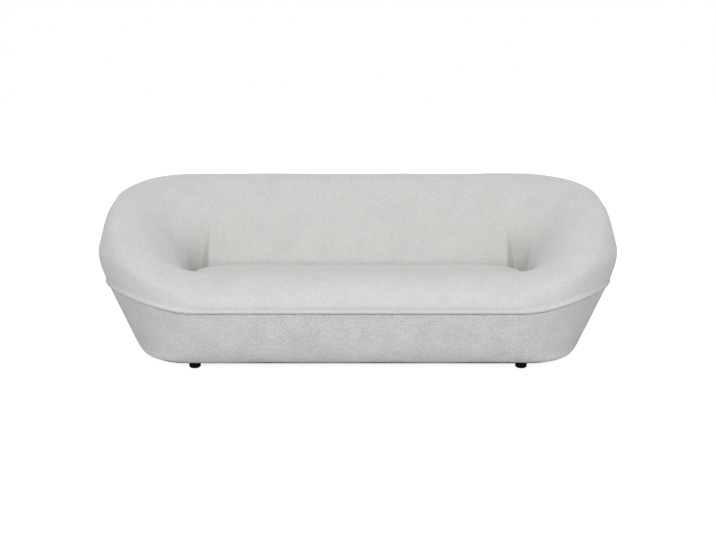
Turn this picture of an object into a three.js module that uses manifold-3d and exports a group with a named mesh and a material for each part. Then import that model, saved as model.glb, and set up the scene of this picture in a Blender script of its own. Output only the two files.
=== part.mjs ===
// A curved three-seat sofa: one stuffed body that runs from the seat into the arms and the back, on a
// tapered base with short stub feet. Millimetres, +Z up, front towards -Y. The origin is on the floor under
// the middle.
import * as THREE from 'three';
import { mergeVertices } from 'three/addons/utils/BufferGeometryUtils.js';
import Module from 'manifold-3d';

const wasm = await Module();
wasm.setup();

// Overall sizes
const WIDTH = 2370;
const DEPTH = 950;
const GROUND_GAP = 35;
const SEAT_HEIGHT = 400;
const SEAT_END_SHARE = 0.68;
const SEAT_END_STEP = 45;

// Heights of the piping, the rim and the crease: front, front corner, side, rear corner, back
const PIPING_FRONT = 277;
const PIPING_FRONT_CORNER = 320;
const PIPING_SIDE = 330;
const PIPING_REAR_CORNER = 334;
const PIPING_BACK = 338;
const RIM_FRONT = 393;
const RIM_FRONT_CORNER = 508;
const RIM_SIDE = 668;
const RIM_REAR_CORNER = 738;
const RIM_BACK = 765;
const CREASE_FRONT = 402;
const CREASE_FRONT_CORNER = 375;
const CREASE_SIDE = 312;
const CREASE_REAR_CORNER = 320;
const CREASE_BACK = 335;

// Where the cover is drawn in: along the crease, and into a pocket outside the fold at each end of it
const CREASE_TUCK = 16;
const CREASE_GIVE = 0.8;
const FOLD_PAST_CREASE = 19;
const FOLD_STEP = 12;
const POCKET_TUCK = 80;
const POCKET_WIDE = 90;
const POCKET_HIGH = 90;
const POCKET_RISE = 65;
const POCKET_GIVE_SHARE = 0.06;

// Layers under the skin
const COVER = 3;
const LAYER_GAP = 0.8;
const WRAP_FOAM = 18;
const BASE_FOAM = 10;
const FACING = 4;
const SPLIT_GAP = 1.4;
const FRAME_GAP = 1;
const PIPING_RADIUS = 4;
const PIPING_SIDES = 8;

// Plywood frame
const PLY = 18;
const FIT = 0.35;
const PANEL_INSET = 32;
const HEM_LAP = 1.5;
const DECK_BOTTOM = 222;
const FRAME_TOP_WIDE = 70;
const FRAME_FOOT_WIDE = 124;
const BASE_RIBS = 4;
const LAST_RIB_SHARE = 0.7595;
const BACK_RIB_SHARES = [-3, -1.5, 0, 1.5, 3];
const SIDE_RIB_SHARES = [-0.38, 0, 0.45];
const TAB_LONG = 60;
const TAB_IN = 75;
const REAR_TAB_IN = 190;
const RIB_HOLE_RADIUS = 45;
const HOLE_SHARES = [0.25, 0.5, 0.75];
const HOLE_SIDES = 12;
const OPENING_SHARES = [-2.5, -1.5, -0.5, 0.5, 1.5, 2.5];
const DECK_BAR = 40;
const DECK_FRONT_BAR = 138;
const DECK_REAR_BAR = 184;
const BASE_OPENING = 300;

// Elastic webbing
const STRAP = 2;
const STRAP_WIDE = 60;
const SEAT_STRAP_COUNT_ACROSS = 8;
const SEAT_STRAP_COUNT_ALONG = 4;
const BACK_STRAP_START = 60;
const BACK_STRAP_FOOT = 375;
const BACK_STRAP_COUNT_ACROSS = 6;
const BACK_STRAP_COUNT_ALONG = 4;

// Feet and what holds them
const FOOT_RADIUS = 25;
const FOOT_ROUND = 3.5;
const FOOT_FROM_RIB = 30;
const FOOT_IN = 38;
const GLIDE = 3;
const GLIDE_RADIUS = 19;
const GLIDE_PIN_RADIUS = 3;
const GLIDE_PIN = 8;
const BOLT_RADIUS = 4;
const BOLT_IN_FOOT = 20;
const BOLT_OUT = 8;
const NUT_WALL = 1.4;
const NUT_BARREL = 11;
const NUT_FLANGE = 1.5;
const NUT_FLANGE_RADIUS = 12;
const FOOT_SIDES = 24;
const GLIDE_SIDES = 24;
const BOLT_SIDES = 12;
const CLOTH = 1;
const CLOTH_LAP = 18;
const WELD = 1e-4;

const halfWidth = WIDTH / 2;
const halfDepth = DEPTH / 2;

// Stations round the plan: -2 middle of the front, -1 start of the front corner, 0 side, 1 end of the rear
// corner, 2 middle of the back. Heights are given at five of them, and run smoothly between them.
const heightShares = [-1, -0.5, 0, 0.5, 1];
const pipingHeights = [PIPING_FRONT, PIPING_FRONT_CORNER, PIPING_SIDE, PIPING_REAR_CORNER, PIPING_BACK];
const rimHeights = [RIM_FRONT, RIM_FRONT_CORNER, RIM_SIDE, RIM_REAR_CORNER, RIM_BACK];
const creaseHeights = [CREASE_FRONT, CREASE_FRONT_CORNER, CREASE_SIDE, CREASE_REAR_CORNER, CREASE_BACK];

const mix = (a, b, share) => a + (b - a) * share;
const inBase = (shares) => shares.map((share, i) => mix(GROUND_GAP, pipingHeights[i], share));
const inWall = (shares) => shares.map((share, i) => mix(pipingHeights[i], rimHeights[i], share));
const inHollow = (shares) => shares.map((share, i) => mix(creaseHeights[i], rimHeights[i], share));
const inSeat = (shares) => shares.map((share, i) => mix(creaseHeights[i], SEAT_HEIGHT, share));

// The guides of the skin, from the edge of the underside up the wall, over the rim and down to the seat.
// Side: how far out and how far along the side point lies. Front and back: where the corner starts, how far
// out the straight lies, and the power that shapes the corner. Shares of half the width across, and of half
// the depth along.
const guideShares = [
  { name: 'under', side: [0.797, 0.126], front: [0.590, 0.726, 2.30], back: [0.608, 0.726, 2.30],
    z: inBase([0, 0, 0, 0, 0]) },
  { name: 'hem', side: [0.835, 0.126], front: [0.603, 0.796, 2.30], back: [0.624, 0.796, 2.30],
    z: inBase([0.038, 0.030, 0.024, 0.024, 0.024]) },
  { name: 'baseLow', side: [0.874, 0.126], front: [0.574, 0.857, 1.95], back: [0.633, 0.846, 2.30],
    z: inBase([0.232, 0.193, 0.186, 0.184, 0.182]) },
  { name: 'baseMid', side: [0.921, 0.126], front: [0.557, 0.918, 1.90], back: [0.658, 0.905, 2.30],
    z: inBase([0.612, 0.579, 0.576, 0.569, 0.561]) },
  { name: 'piping', side: [0.969, 0.126], front: [0.574, 0.970, 1.85], back: [0.692, 0.964, 2.30],
    z: inBase([1, 1, 1, 1, 1]) },
  { name: 'belt', side: [1.000, 0.168], front: [0.523, 1.000, 1.90], back: [0.726, 1.000, 2.30],
    z: inWall([0.270, 0.383, 0.331, 0.312, 0.297]) },
  { name: 'shoulder', side: [0.990, 0.168], front: [0.523, 0.945, 2.05], back: [0.764, 0.981, 2.50],
    z: inWall([0.661, 0.745, 0.592, 0.795, 0.824]) },
  { name: 'rim', side: [0.942, 0.168], front: [0.532, 0.810, 2.20], back: [0.675, 0.842, 2.45],
    z: inWall([1, 1, 1, 1, 1]) },
  { name: 'innerTop', side: [0.831, 0.020], front: [0.540, 0.640, 2.30], back: [0.560, 0.632, 2.10],
    z: inHollow([-0.67, 0.880, 0.900, 0.900, 0.930]) },
  { name: 'innerMid', side: [0.747, 0.040], front: [0.540, 0.530, 2.40], back: [0.540, 0.453, 2.10],
    z: inHollow([-0.67, 0.500, 0.640, 0.620, 0.560]) },
  { name: 'innerLow', side: [0.690, 0.080], front: [0.540, 0.450, 2.50], back: [0.560, 0.326, 2.30],
    z: inHollow([-0.33, 0.180, 0.335, 0.280, 0.200]) },
  { name: 'crease', side: [0.655, 0.100], front: [0.530, 0.380, 2.60], back: [0.582, 0.240, 2.60],
    z: inHollow([0, 0, 0, 0, 0]) },
  { name: 'seatRear', side: [0.625, 0.050], front: [0.510, 0.320, 2.60], back: [0.550, 0.125, 2.60],
    z: inSeat([0.5, 0.64, 0.42, 0.42, 0.46]) },
  { name: 'seatMid', side: [0.578, -0.130], front: [0.490, 0.240, 2.50], back: [0.473, -0.035, 2.50],
    z: inSeat([1, 1, 0.88, 0.88, 0.90]) },
];
const rowOf = (name) => guideShares.findIndex((guide) => guide.name === name);
const WALL_FOOT_ROW = rowOf('baseMid');
const PIPING_ROW = rowOf('piping');
const BELT_ROW = rowOf('belt');
const SHOULDER_ROW = rowOf('shoulder');
const RIM_EDGE = (SHOULDER_ROW + rowOf('rim')) / 2;
const CREASE_ROW = rowOf('crease');
const LAST_ROW = guideShares.length - 1;

// Cubic through five heights, level at both ends
function heightAt(heights, u) {
  const at = Math.min(Math.max(u, -1), 1);
  const slope = heights.map((h, i) => (i === 0 || i === 4 ? 0 : heights[i + 1] - heights[i - 1]));
  const i = Math.min(Math.floor((at + 1) * 2), 3);
  const t = (at - heightShares[i]) * 2;
  const rise = heights[i] + (slope[i] / 2) * t;
  const bend = 3 * (heights[i + 1] - heights[i]) - slope[i] - slope[i + 1] / 2;
  const turn = 2 * (heights[i] - heights[i + 1]) + (slope[i] + slope[i + 1]) / 2;
  return rise + bend * t * t + turn * t * t * t;
}

// A point of one guide, on the right half of the plan
function guidePoint(row, u) {
  const { side, front, back, z } = guideShares[row];
  const [startShare, outShare, power] = u < 0 ? front : back;
  const start = startShare * halfWidth;
  const sideAlong = side[1] * halfDepth;
  const reach = (u < 0 ? -1 : 1) * outShare * halfDepth - sideAlong;
  const angle = Math.min(Math.abs(u), 1) * Math.PI / 2;
  const bow = Math.max(Math.cos(angle), 0) ** (2 / power);
  const x = Math.abs(u) > 1 ? start * (2 - Math.abs(u)) : mix(start, side[0] * halfWidth, bow);
  return new THREE.Vector3(x, sideAlong + reach * Math.sin(angle) ** (2 / power), heightAt(z, u));
}

// The skin between the guides, before it is drawn in
function smoothSkin(u, v) {
  const row = Math.min(Math.floor(v), LAST_ROW - 1);
  const p1 = guidePoint(row, u);
  const p2 = guidePoint(row + 1, u);
  const p0 = row > 0 ? guidePoint(row - 1, u) : p1.clone().multiplyScalar(2).sub(p2);
  const p3 = row + 2 <= LAST_ROW ? guidePoint(row + 2, u) : p2.clone().multiplyScalar(2).sub(p1);
  const t = v - row;
  const shares = [
    -t + 2 * t ** 2 - t ** 3,
    2 - 5 * t ** 2 + 3 * t ** 3,
    t + 4 * t ** 2 - 3 * t ** 3,
    t ** 3 - t ** 2,
  ];
  const point = new THREE.Vector3();
  [p0, p1, p2, p3].forEach((p, i) => point.addScaledVector(p, shares[i] / 2));
  return point;
}

const FOLD_X = guidePoint(CREASE_ROW, 1).x + FOLD_PAST_CREASE;
const POCKET_Z = CREASE_REAR_CORNER + POCKET_RISE;
const creaseShares = new THREE.Vector3(0, 0.55, -0.83);
const pocketShares = new THREE.Vector3(0.45, 0.62, -0.64);

// How far the pocket draws a point of the skin in
function pocketAt(point, u, v) {
  const past = v - CREASE_ROW;
  const fold = THREE.MathUtils.smoothstep(point.x, FOLD_X - FOLD_STEP / 2, FOLD_X + FOLD_STEP / 2);
  const outside = Math.exp(-((Math.max(point.x - FOLD_X, 0) / POCKET_WIDE) ** 2));
  const above = Math.exp(-((Math.max(point.z - POCKET_Z, 0) / POCKET_HIGH) ** 2));
  const below = Math.exp(-((Math.abs(past) / 0.3) ** 1.2));
  const rows = THREE.MathUtils.smoothstep(v, 8.4, 9.4) * THREE.MathUtils.smoothstep(u, 0.15, 0.55);
  return POCKET_TUCK * fold * outside * rows * (past < 0 ? above : below);
}

// The skin with its crease along the foot of the back and a pocket at each end of the crease
function skinPoint(u, v) {
  const point = smoothSkin(u, v);
  const along = THREE.MathUtils.smoothstep(u, 0.45, 0.95);
  const crease = CREASE_TUCK * along * Math.exp(-Math.abs(v - CREASE_ROW) / 0.22);
  const pocket = pocketAt(point, u, v);
  return point.addScaledVector(creaseShares, crease).addScaledVector(pocketShares, pocket);
}

// Columns of the grid: the right half from front to back, then the left half mirrored back to the front
const stationShares = [-2, -1.5, -1, -0.87, -0.74, -0.62, -0.5, -0.38, -0.25, -0.12, 0,
  0.15, 0.3, 0.45, 0.6, 0.74, 0.87, 0.965, 1, 1.5, 2];
const HALF = stationShares.length - 1;
const COLUMNS = 2 * HALF;
const FRONT_CORNER = stationShares.indexOf(-1);
const ARM_END = stationShares.indexOf(-0.5);
const REAR_CORNER = stationShares.indexOf(1);
const mirrored = (column) => (COLUMNS - column) % COLUMNS;

const stationOf = (column) => stationShares[Math.min(column, mirrored(column))];

function ringOf(pointAt) {
  return Array.from({ length: COLUMNS }, (unused, column) => {
    const point = pointAt(stationOf(column));
    return column > HALF ? new THREE.Vector3(-point.x, point.y, point.z) : point;
  });
}

// Rows of the grid, with each one's outward normals
const baseRowShares = [0, 0.5, 1, 1.5, 2, WALL_FOOT_ROW];
const upperRowShares = [4.5, 5, 6, 6.5, 7, 7.5, 8, 9, 10, 10.6, CREASE_ROW, 11.3, 12, LAST_ROW];
const gridRowShares = [...baseRowShares, PIPING_ROW, ...upperRowShares];
const grid = new Map(gridRowShares.map((v) => [v, ringOf((u) => skinPoint(u, v))]));
const normals = new Map(gridRowShares.map((v, i) => {
  const below = grid.get(gridRowShares[Math.max(i - 1, 0)]);
  const above = grid.get(gridRowShares[Math.min(i + 1, gridRowShares.length - 1)]);
  const here = grid.get(v);
  return [v, here.map((unused, column) => {
    const along = here[(column + 1) % COLUMNS].clone().sub(here[(column + COLUMNS - 1) % COLUMNS]);
    return along.cross(above[column].clone().sub(below[column])).normalize();
  })];
}));

const pockets = new Map(gridRowShares.map((v) => {
  return [v, grid.get(v).map((unused, column) => {
    const u = stationOf(column);
    return pocketAt(smoothSkin(u, v), u, v);
  })];
}));

// The direction a ring runs in, at each of its points
function alongRing(ring) {
  return ring.map((unused, i) => {
    const next = ring[(i + 1) % ring.length];
    return next.clone().sub(ring[(i + ring.length - 1) % ring.length]).normalize();
  });
}

const outwards = (column) => normals.get(BELT_ROW)[column].clone().setZ(0).normalize();
const stepped = (point, towards, step) => point.clone().lerp(towards, step / point.distanceTo(towards));
const stepTowards = (a, b, step) => a.map((point, i) => stepped(point, b[i], step));

// The ring of one row, moved inwards from the skin by a depth
function inset(v, depth) {
  return grid.get(v).map((point, i) => point.clone().addScaledVector(normals.get(v)[i], -depth));
}

// A plan outline moved outwards by a distance, or inwards by a negative one
function grown(outline, by) {
  const sides = outline.map((p, i) => {
    const next = outline[(i + 1) % outline.length];
    return new THREE.Vector3(next.y - p.y, p.x - next.x, 0).normalize();
  });
  return outline.map((p, i) => {
    const before = sides[(i + sides.length - 1) % sides.length];
    const both = before.clone().add(sides[i]);
    return p.clone().addScaledVector(both, by / (1 + before.dot(sides[i])));
  });
}

// Where a plan outline crosses a line along Y: its front and its rear point
function spanAt(outline, x) {
  const found = [];
  outline.forEach((p, i) => {
    const next = outline[(i + 1) % outline.length];
    const crosses = (p.x - x) * (next.x - x) <= 0 && p.x !== next.x;
    if (crosses) found.push(mix(p.y, next.y, (x - p.x) / (next.x - p.x)));
  });
  return [Math.min(...found), Math.max(...found)];
}

// Closed surfaces built from rings of points
class Faces {
  constructor() {
    this.positions = [];
  }

  triangle(a, b, c) {
    for (const p of [a, b, c]) this.positions.push(p.x, p.y, p.z);
  }

  quad(a, b, c, d) {
    this.triangle(a, b, c);
    this.triangle(a, c, d);
  }

  // A piece of skin between two columns, from its lower to its upper points. The left half mirrors the right.
  patch(column, lower, upper, facingOut) {
    const left = (column + COLUMNS) % COLUMNS >= HALF;
    const loop = [lower[0], lower[1], upper[1], upper[0]];
    if (left) loop.push(loop.shift());
    if (!facingOut) [loop[1], loop[3]] = [loop[3], loop[1]];
    this.quad(...loop);
  }

  // The band from one ring or line of points up to the next
  band(lower, upper, closed, facingOut = true, first = 0) {
    const last = closed ? lower.length : lower.length - 1;
    for (let i = 0; i < last; i += 1) {
      const j = (i + 1) % lower.length;
      this.patch(first + i, [lower[i], lower[j]], [upper[i], upper[j]], facingOut);
    }
  }

  // The lid of a whole ring, from its front half straight across to its back half
  lid(ring, up) {
    for (let i = 0; i < HALF / 2; i += 1) {
      const columns = [i, i + 1, HALF - i - 1, HALF - i];
      if (columns[1] === columns[2]) columns.splice(2, 1);
      this.cap(columns.map((column) => ring[column]), up);
      this.cap(columns.map((column) => ring[mirrored(column)]), !up);
    }
  }

  // A flat face fanned from its first point
  cap(points, forwards) {
    for (let i = 1; i + 1 < points.length; i += 1) {
      if (forwards) this.triangle(points[0], points[i], points[i + 1]);
      else this.triangle(points[0], points[i + 1], points[i]);
    }
  }

  geometry() {
    const built = new THREE.BufferGeometry();
    built.setAttribute('position', new THREE.Float32BufferAttribute(this.positions, 3));
    return mergeVertices(built, WELD);
  }
}

// A layer that goes all round between two stacks of rings, open at both edges or closed over the seat
function layer(outer, inner, overSeat) {
  const faces = new Faces();
  const top = outer.length - 1;
  for (let k = 0; k < top; k += 1) {
    faces.band(outer[k], outer[k + 1], true);
    faces.band(inner[k], inner[k + 1], true, false);
  }
  faces.band(outer[0], inner[0], true, false);
  if (overSeat) {
    faces.lid(outer[top], true);
    faces.lid(inner[top], false);
  } else {
    faces.band(outer[top], inner[top], true);
  }
  return faces.geometry();
}

// A closed body from stacks of whole rings, with a ledge from each stack out to the next and two lids
function stack(...stories) {
  const faces = new Faces();
  stories.forEach((rings, story) => {
    if (story > 0) faces.band(rings[0], stories[story - 1].at(-1), true, false);
    for (let k = 0; k + 1 < rings.length; k += 1) faces.band(rings[k], rings[k + 1], true);
  });
  faces.lid(stories[0][0], false);
  faces.lid(stories.at(-1).at(-1), true);
  return faces.geometry();
}

// The points of a ring from one column round to another, drawn in a little at both ends
function stretch(ring, from, to, gap) {
  const points = [];
  for (let column = from; column <= to; column += 1) points.push(ring[(column + COLUMNS) % COLUMNS].clone());
  const ends = [[0, 1], [points.length - 1, points.length - 2]];
  const moved = ends.map(([end, next]) => stepped(points[end], points[next], gap));
  ends.forEach(([end], i) => points[end].copy(moved[i]));
  return points;
}

// A layer over part of the way round, closed at its two ends
function partLayer(outerRings, innerRings, from, to) {
  const outer = outerRings.map((ring) => stretch(ring, from, to, SPLIT_GAP / 2));
  const inner = innerRings.map((ring) => stretch(ring, from, to, SPLIT_GAP / 2));
  const faces = new Faces();
  const top = outer.length - 1;
  const end = outer[0].length - 1;
  for (let k = 0; k < top; k += 1) {
    faces.band(outer[k], outer[k + 1], false, true, from);
    faces.band(inner[k], inner[k + 1], false, false, from);
    faces.cap([outer[k][0], outer[k + 1][0], inner[k + 1][0], inner[k][0]], true);
    faces.cap([outer[k][end], outer[k + 1][end], inner[k + 1][end], inner[k][end]], false);
  }
  faces.band(outer[0], inner[0], false, false, from);
  faces.band(outer[top], inner[top], false, true, from);
  return faces.geometry();
}

// A body whose cross-sections are polygons that can be fanned from their first point, column by column
function loft(sections, closed, from = 0) {
  const faces = new Faces();
  const last = closed ? sections.length : sections.length - 1;
  for (let k = 0; k < last; k += 1) {
    const next = sections[(k + 1) % sections.length];
    sections[k].forEach((point, i) => {
      const j = (i + 1) % next.length;
      faces.patch(from + k, [point, next[i]], [sections[k][j], next[j]], true);
    });
  }
  if (!closed) {
    faces.cap(sections[0], true);
    faces.cap(sections[last], false);
  }
  return faces.geometry();
}

// Joining and cutting
function solid(geometry) {
  const bare = geometry.clone();
  bare.deleteAttribute('normal');
  bare.deleteAttribute('uv');
  const merged = mergeVertices(bare, WELD);
  const vertProperties = Float32Array.from(merged.attributes.position.array);
  const triVerts = Uint32Array.from(merged.index.array);
  return new wasm.Manifold(new wasm.Mesh({ numProp: 3, vertProperties, triVerts }));
}

function geometryOf(body) {
  const cut = body.getMesh();
  const built = new THREE.BufferGeometry();
  built.setAttribute('position', new THREE.Float32BufferAttribute(cut.vertProperties, 3));
  built.setIndex([...cut.triVerts]);
  return built;
}

// A box given by its lowest and highest corners
function block(low, high) {
  const box = new THREE.BoxGeometry(...high.map((value, i) => value - low[i]));
  box.translate(...high.map((value, i) => (value + low[i]) / 2));
  return box;
}

// The outline of a body at one level
function sliceOf(body, level) {
  const loops = body.slice(level).toPolygons();
  return loops[0].map(([x, y]) => new THREE.Vector3(x, y, level));
}

// An upright slab over a plan outline
function slab(outline, bottom, top) {
  const shape = new THREE.Shape(outline.map((p) => new THREE.Vector2(p.x, p.y)));
  const built = new THREE.ExtrudeGeometry(shape, { depth: top - bottom, bevelEnabled: false });
  built.translate(0, 0, bottom);
  return built;
}

function turned(profile, sides) {
  const points = profile.map(([radius, height]) => new THREE.Vector2(radius, height));
  const built = new THREE.LatheGeometry(points, sides);
  built.rotateX(Math.PI / 2);
  return built;
}

// A round hole right through, at a point of the plan
function upright(x, y, radius, sides) {
  const hole = new THREE.CylinderGeometry(radius, radius, WIDTH, sides);
  hole.rotateX(Math.PI / 2);
  hole.translate(x, y, 0);
  return solid(hole);
}

const material = (color, roughness, metalness = 0) => {
  return new THREE.MeshStandardMaterial({ color, roughness, metalness });
};
const sofa = new THREE.Group();

function add(name, geometry, look) {
  const mesh = new THREE.Mesh(geometry, look());
  mesh.name = name;
  sofa.add(mesh);
  return mesh;
}

const boucle = () => material(0xcdccca, 0.95);
const weltCloth = () => material(0xc9c8c6, 0.95);
const foam = () => material(0xe8dfc4, 0.9);
const plywood = () => material(0xc6a577, 0.7);
const elastic = () => material(0x3a3a3c, 0.9);
const steel = () => material(0xb4b6b8, 0.35, 1);
const blackPlastic = () => material(0x151515, 0.5);
const greyPlastic = () => material(0x4a4a4c, 0.6);
const liningCloth = () => material(0x2a2a2c, 0.95);

// Levels and depths that follow from the sizes
const panelBottom = GROUND_GAP + COVER + HEM_LAP;
const panelTop = panelBottom + PLY;
const deckTop = DECK_BOTTOM + PLY;
const strapClear = STRAP + 2 * FIT;
const foamDepth = COVER + LAYER_GAP;
const wrapInner = foamDepth + WRAP_FOAM;
const facingOuter = wrapInner + LAYER_GAP;
const facingInner = facingOuter + FACING;
const frameOuter = facingInner + FRAME_GAP;
const baseInner = foamDepth + BASE_FOAM;
const fasciaOuter = baseInner + LAYER_GAP;
const fasciaInner = fasciaOuter + FACING;
const baseFrameOuter = fasciaInner + LAYER_GAP;
const ribPitch = LAST_RIB_SHARE * halfWidth / BASE_RIBS;
const through = WIDTH;

// The two edges along the piping
const edgeStep = PIPING_RADIUS + FIT;
const pipingOut = normals.get(PIPING_ROW);
const pipingAlong = alongRing(grid.get(PIPING_ROW));
const pipingUp = pipingOut.map((out, i) => out.clone().cross(pipingAlong[i]));
const edge = (depth, way) => inset(PIPING_ROW, depth).map((p, i) => {
  return p.addScaledVector(pipingUp[i], way * edgeStep);
});
const insets = (rows, depth) => rows.map((v) => inset(v, depth));
const upperRings = (rows) => (depth) => [edge(depth, 1), ...insets(rows, depth)];
const lowerRings = (rows) => (depth) => [...insets(rows, depth), edge(depth, -1)];

// The cover: an upper part from the piping over the rim and the seat, and a base part up to the piping
const upperCover = upperRings(upperRowShares);
const baseCover = lowerRings(baseRowShares);
add('upper_cover', layer(upperCover(0), upperCover(COVER), true), boucle);
add('base_cover', layer(baseCover(0), baseCover(COVER), false), boucle);

// The piping lies in the notch between them
const pipingSections = grid.get(PIPING_ROW).map((point, column) => {
  return Array.from({ length: PIPING_SIDES }, (unused, k) => {
    const angle = 2 * Math.PI * k / PIPING_SIDES;
    const rim = point.clone().addScaledVector(pipingOut[column], PIPING_RADIUS * Math.cos(angle));
    return rim.addScaledVector(pipingUp[column], PIPING_RADIUS * Math.sin(angle));
  });
});
add('piping', loft(pipingSections, true), weltCloth);

// Thin foam right under the cover: round the base, and in four sheets round the wall up to the rim
const wallFootShares = [1.5, 2, WALL_FOOT_ROW];
const baseLayer = lowerRings(wallFootShares);
const wrapRows = upperRings([BELT_ROW, SHOULDER_ROW]);
const wrapTop = (depth) => stepTowards(inset(RIM_EDGE, depth), inset(SHOULDER_ROW, depth), SPLIT_GAP);
const wrap = (depth) => [...wrapRows(depth), wrapTop(depth)];
add('base_foam', layer(baseLayer(foamDepth), baseLayer(baseInner), false), foam);
const wrapSheets = [
  ['front_wrap_foam', -FRONT_CORNER, FRONT_CORNER],
  ['right_wrap_foam', FRONT_CORNER, REAR_CORNER],
  ['back_wrap_foam', REAR_CORNER, COLUMNS - REAR_CORNER],
  ['left_wrap_foam', COLUMNS - REAR_CORNER, COLUMNS - FRONT_CORNER],
];
for (const [name, from, to] of wrapSheets) {
  add(name, partLayer(wrap(foamDepth), wrap(wrapInner), from, to), foam);
}

// A ring just under the shoulder, at the level of the frame's top lowered by a drop
function underShoulder(depth, drop) {
  const level = inset(SHOULDER_ROW, frameOuter);
  const above = inset(SHOULDER_ROW, depth);
  return inset(BELT_ROW, depth).map((p, i) => {
    return p.clone().lerp(above[i], (level[i].z - drop - p.z) / (above[i].z - p.z));
  });
}

// Bent plywood: a fascia round the base, and a facing round the arms and the back
const facing = (depth) => [edge(depth, 1), inset(BELT_ROW, depth), underShoulder(depth, 0)];
add('base_fascia', layer(baseLayer(fasciaOuter), baseLayer(fasciaInner), false), plywood);
add('back_facing', partLayer(facing(facingOuter), facing(facingInner), ARM_END, COLUMNS - ARM_END), plywood);

// Cross-sections of the room for the upper frame, column by column. Its top may be lowered by a drop, and its
// inner face moved in by a clearance.
function frameSections(depth, drop, clear) {
  const wall = [inset(WALL_FOOT_ROW, depth), edge(depth, 1), inset(BELT_ROW, depth)];
  const outer = [...wall, underShoulder(depth, drop)];
  const shoulder = inset(SHOULDER_ROW, frameOuter);
  const foot = inset(WALL_FOOT_ROW, frameOuter);
  return grid.get(SHOULDER_ROW).map((unused, column) => {
    const out = outwards(column);
    const top = shoulder[column].clone().addScaledVector(out, -FRAME_TOP_WIDE);
    const bottom = foot[column].clone().addScaledVector(out, -FRAME_FOOT_WIDE);
    const face = (z) => {
      const point = top.clone().lerp(bottom, (top.z - z) / (top.z - bottom.z));
      return point.addScaledVector(out, -clear);
    };
    const faceTop = face(shoulder[column].z - drop);
    return [face(bottom.z), ...outer.map((ring) => ring[column]), faceTop];
  });
}
const frameLength = (sections) => sections.slice(ARM_END, COLUMNS - ARM_END + 1);
const frameRoom = solid(loft(frameLength(frameSections(frameOuter, PLY + FIT, 0)), false, ARM_END));
const frameClearSections = frameLength(frameSections(0, -LAYER_GAP, strapClear));
frameClearSections.unshift(stepTowards(frameClearSections[0], frameClearSections[1], -LAYER_GAP));
frameClearSections.push(stepTowards(frameClearSections.at(-1), frameClearSections.at(-2), -LAYER_GAP));
const frameClear = solid(loft(frameClearSections, false, ARM_END - 1));

// Top rail in three lengths, along the arms and the back
const railTop = frameSections(frameOuter, 0, 0);
const railFoot = frameSections(frameOuter, PLY, 0);
const railOuter = [railFoot, railTop].map((sections) => sections.map((section) => section.at(-2)));
const railInner = [railFoot, railTop].map((sections) => sections.map((section) => section.at(-1)));
const railLengths = [
  ['right_arm_rail', ARM_END, REAR_CORNER],
  ['back_rail', REAR_CORNER, COLUMNS - REAR_CORNER],
  ['left_arm_rail', COLUMNS - REAR_CORNER, COLUMNS - ARM_END],
];
for (const [name, from, to] of railLengths) add(name, partLayer(railOuter, railInner, from, to), plywood);

// Base: a panel, ribs that stand in it, and a deck over them
const panelOutline = grown(grid.get(1), -PANEL_INSET);
const baseHull = solid(stack([
  panelOutline.map((p) => p.clone().setZ(panelBottom)),
  ...insets(wallFootShares, baseFrameOuter),
  edge(baseFrameOuter, -1),
]));
const deckRing = sliceOf(baseHull, DECK_BOTTOM);

// A tab that stands in a slot. It runs along a line through a point of the plan, the way the line points.
function tab(point, out, low, high, grow) {
  const long = TAB_LONG / 2 + grow;
  const thick = PLY / 2 + grow;
  const box = block([-long, -thick, low], [long, thick, high]);
  box.rotateZ(Math.atan2(out.y, out.x));
  box.translate(point.x, point.y, 0);
  return solid(box);
}

const alongY = new THREE.Vector3(0, 1, 0);
const baseRibs = [];
for (let i = -BASE_RIBS; i <= BASE_RIBS; i += 1) {
  const x = i * ribPitch;
  const [panelFront, panelRear] = spanAt(panelOutline, x);
  const [deckFront, deckRear] = spanAt(deckRing, x);
  baseRibs.push({
    x,
    front: deckFront,
    rear: deckRear,
    lower: [panelFront + TAB_IN, panelRear - TAB_IN].map((y) => new THREE.Vector3(x, y, 0)),
    upper: [deckFront + TAB_IN, deckRear - REAR_TAB_IN].map((y) => new THREE.Vector3(x, y, 0)),
  });
}

// Ribs of the upper frame stand on the deck, square to the skin
const sideRibColumns = SIDE_RIB_SHARES.map((u) => stationShares.indexOf(u));
const upperRibs = [
  ...BACK_RIB_SHARES.map((place, i) => {
    const x = place * ribPitch;
    return { name: `back_rib_${i + 1}`, point: new THREE.Vector3(x, footAt(x), 0), out: alongY };
  }),
  ...sideRibColumns.map((column, i) => sideRib(`right_rib_${i + 1}`, column)),
  ...sideRibColumns.map((column, i) => sideRib(`left_rib_${i + 1}`, mirrored(column))),
];

function sideRib(name, column) {
  return { name, point: inset(WALL_FOOT_ROW, frameOuter)[column], out: outwards(column) };
}

function footAt(x) {
  return spanAt(inset(WALL_FOOT_ROW, frameOuter), x)[1];
}

const tabPoint = (rib) => rib.point.clone().addScaledVector(rib.out, -FRAME_FOOT_WIDE / 2);

baseRibs.forEach((rib, i) => {
  const front = rib.x - PLY / 2;
  const plate = block([front, -through, panelTop + FIT], [front + PLY, through, DECK_BOTTOM - FIT]);
  const lowerTabs = rib.lower.map((p) => tab(p, alongY, panelBottom, panelTop + PLY, 0));
  const upperTabs = rib.upper.map((p) => tab(p, alongY, DECK_BOTTOM - PLY, deckTop, 0));
  const holes = HOLE_SHARES.map((share) => {
    const hole = new THREE.CylinderGeometry(RIB_HOLE_RADIUS, RIB_HOLE_RADIUS, 2 * PLY, HOLE_SIDES);
    hole.rotateZ(Math.PI / 2);
    hole.translate(rib.x, mix(rib.front, rib.rear, share), (panelTop + DECK_BOTTOM) / 2);
    return solid(hole);
  });
  const joined = wasm.Manifold.union([solid(plate).intersect(baseHull), ...lowerTabs, ...upperTabs]);
  add(`base_rib_${i + 1}`, geometryOf(joined.subtract(wasm.Manifold.union(holes))), plywood);
});

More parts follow.
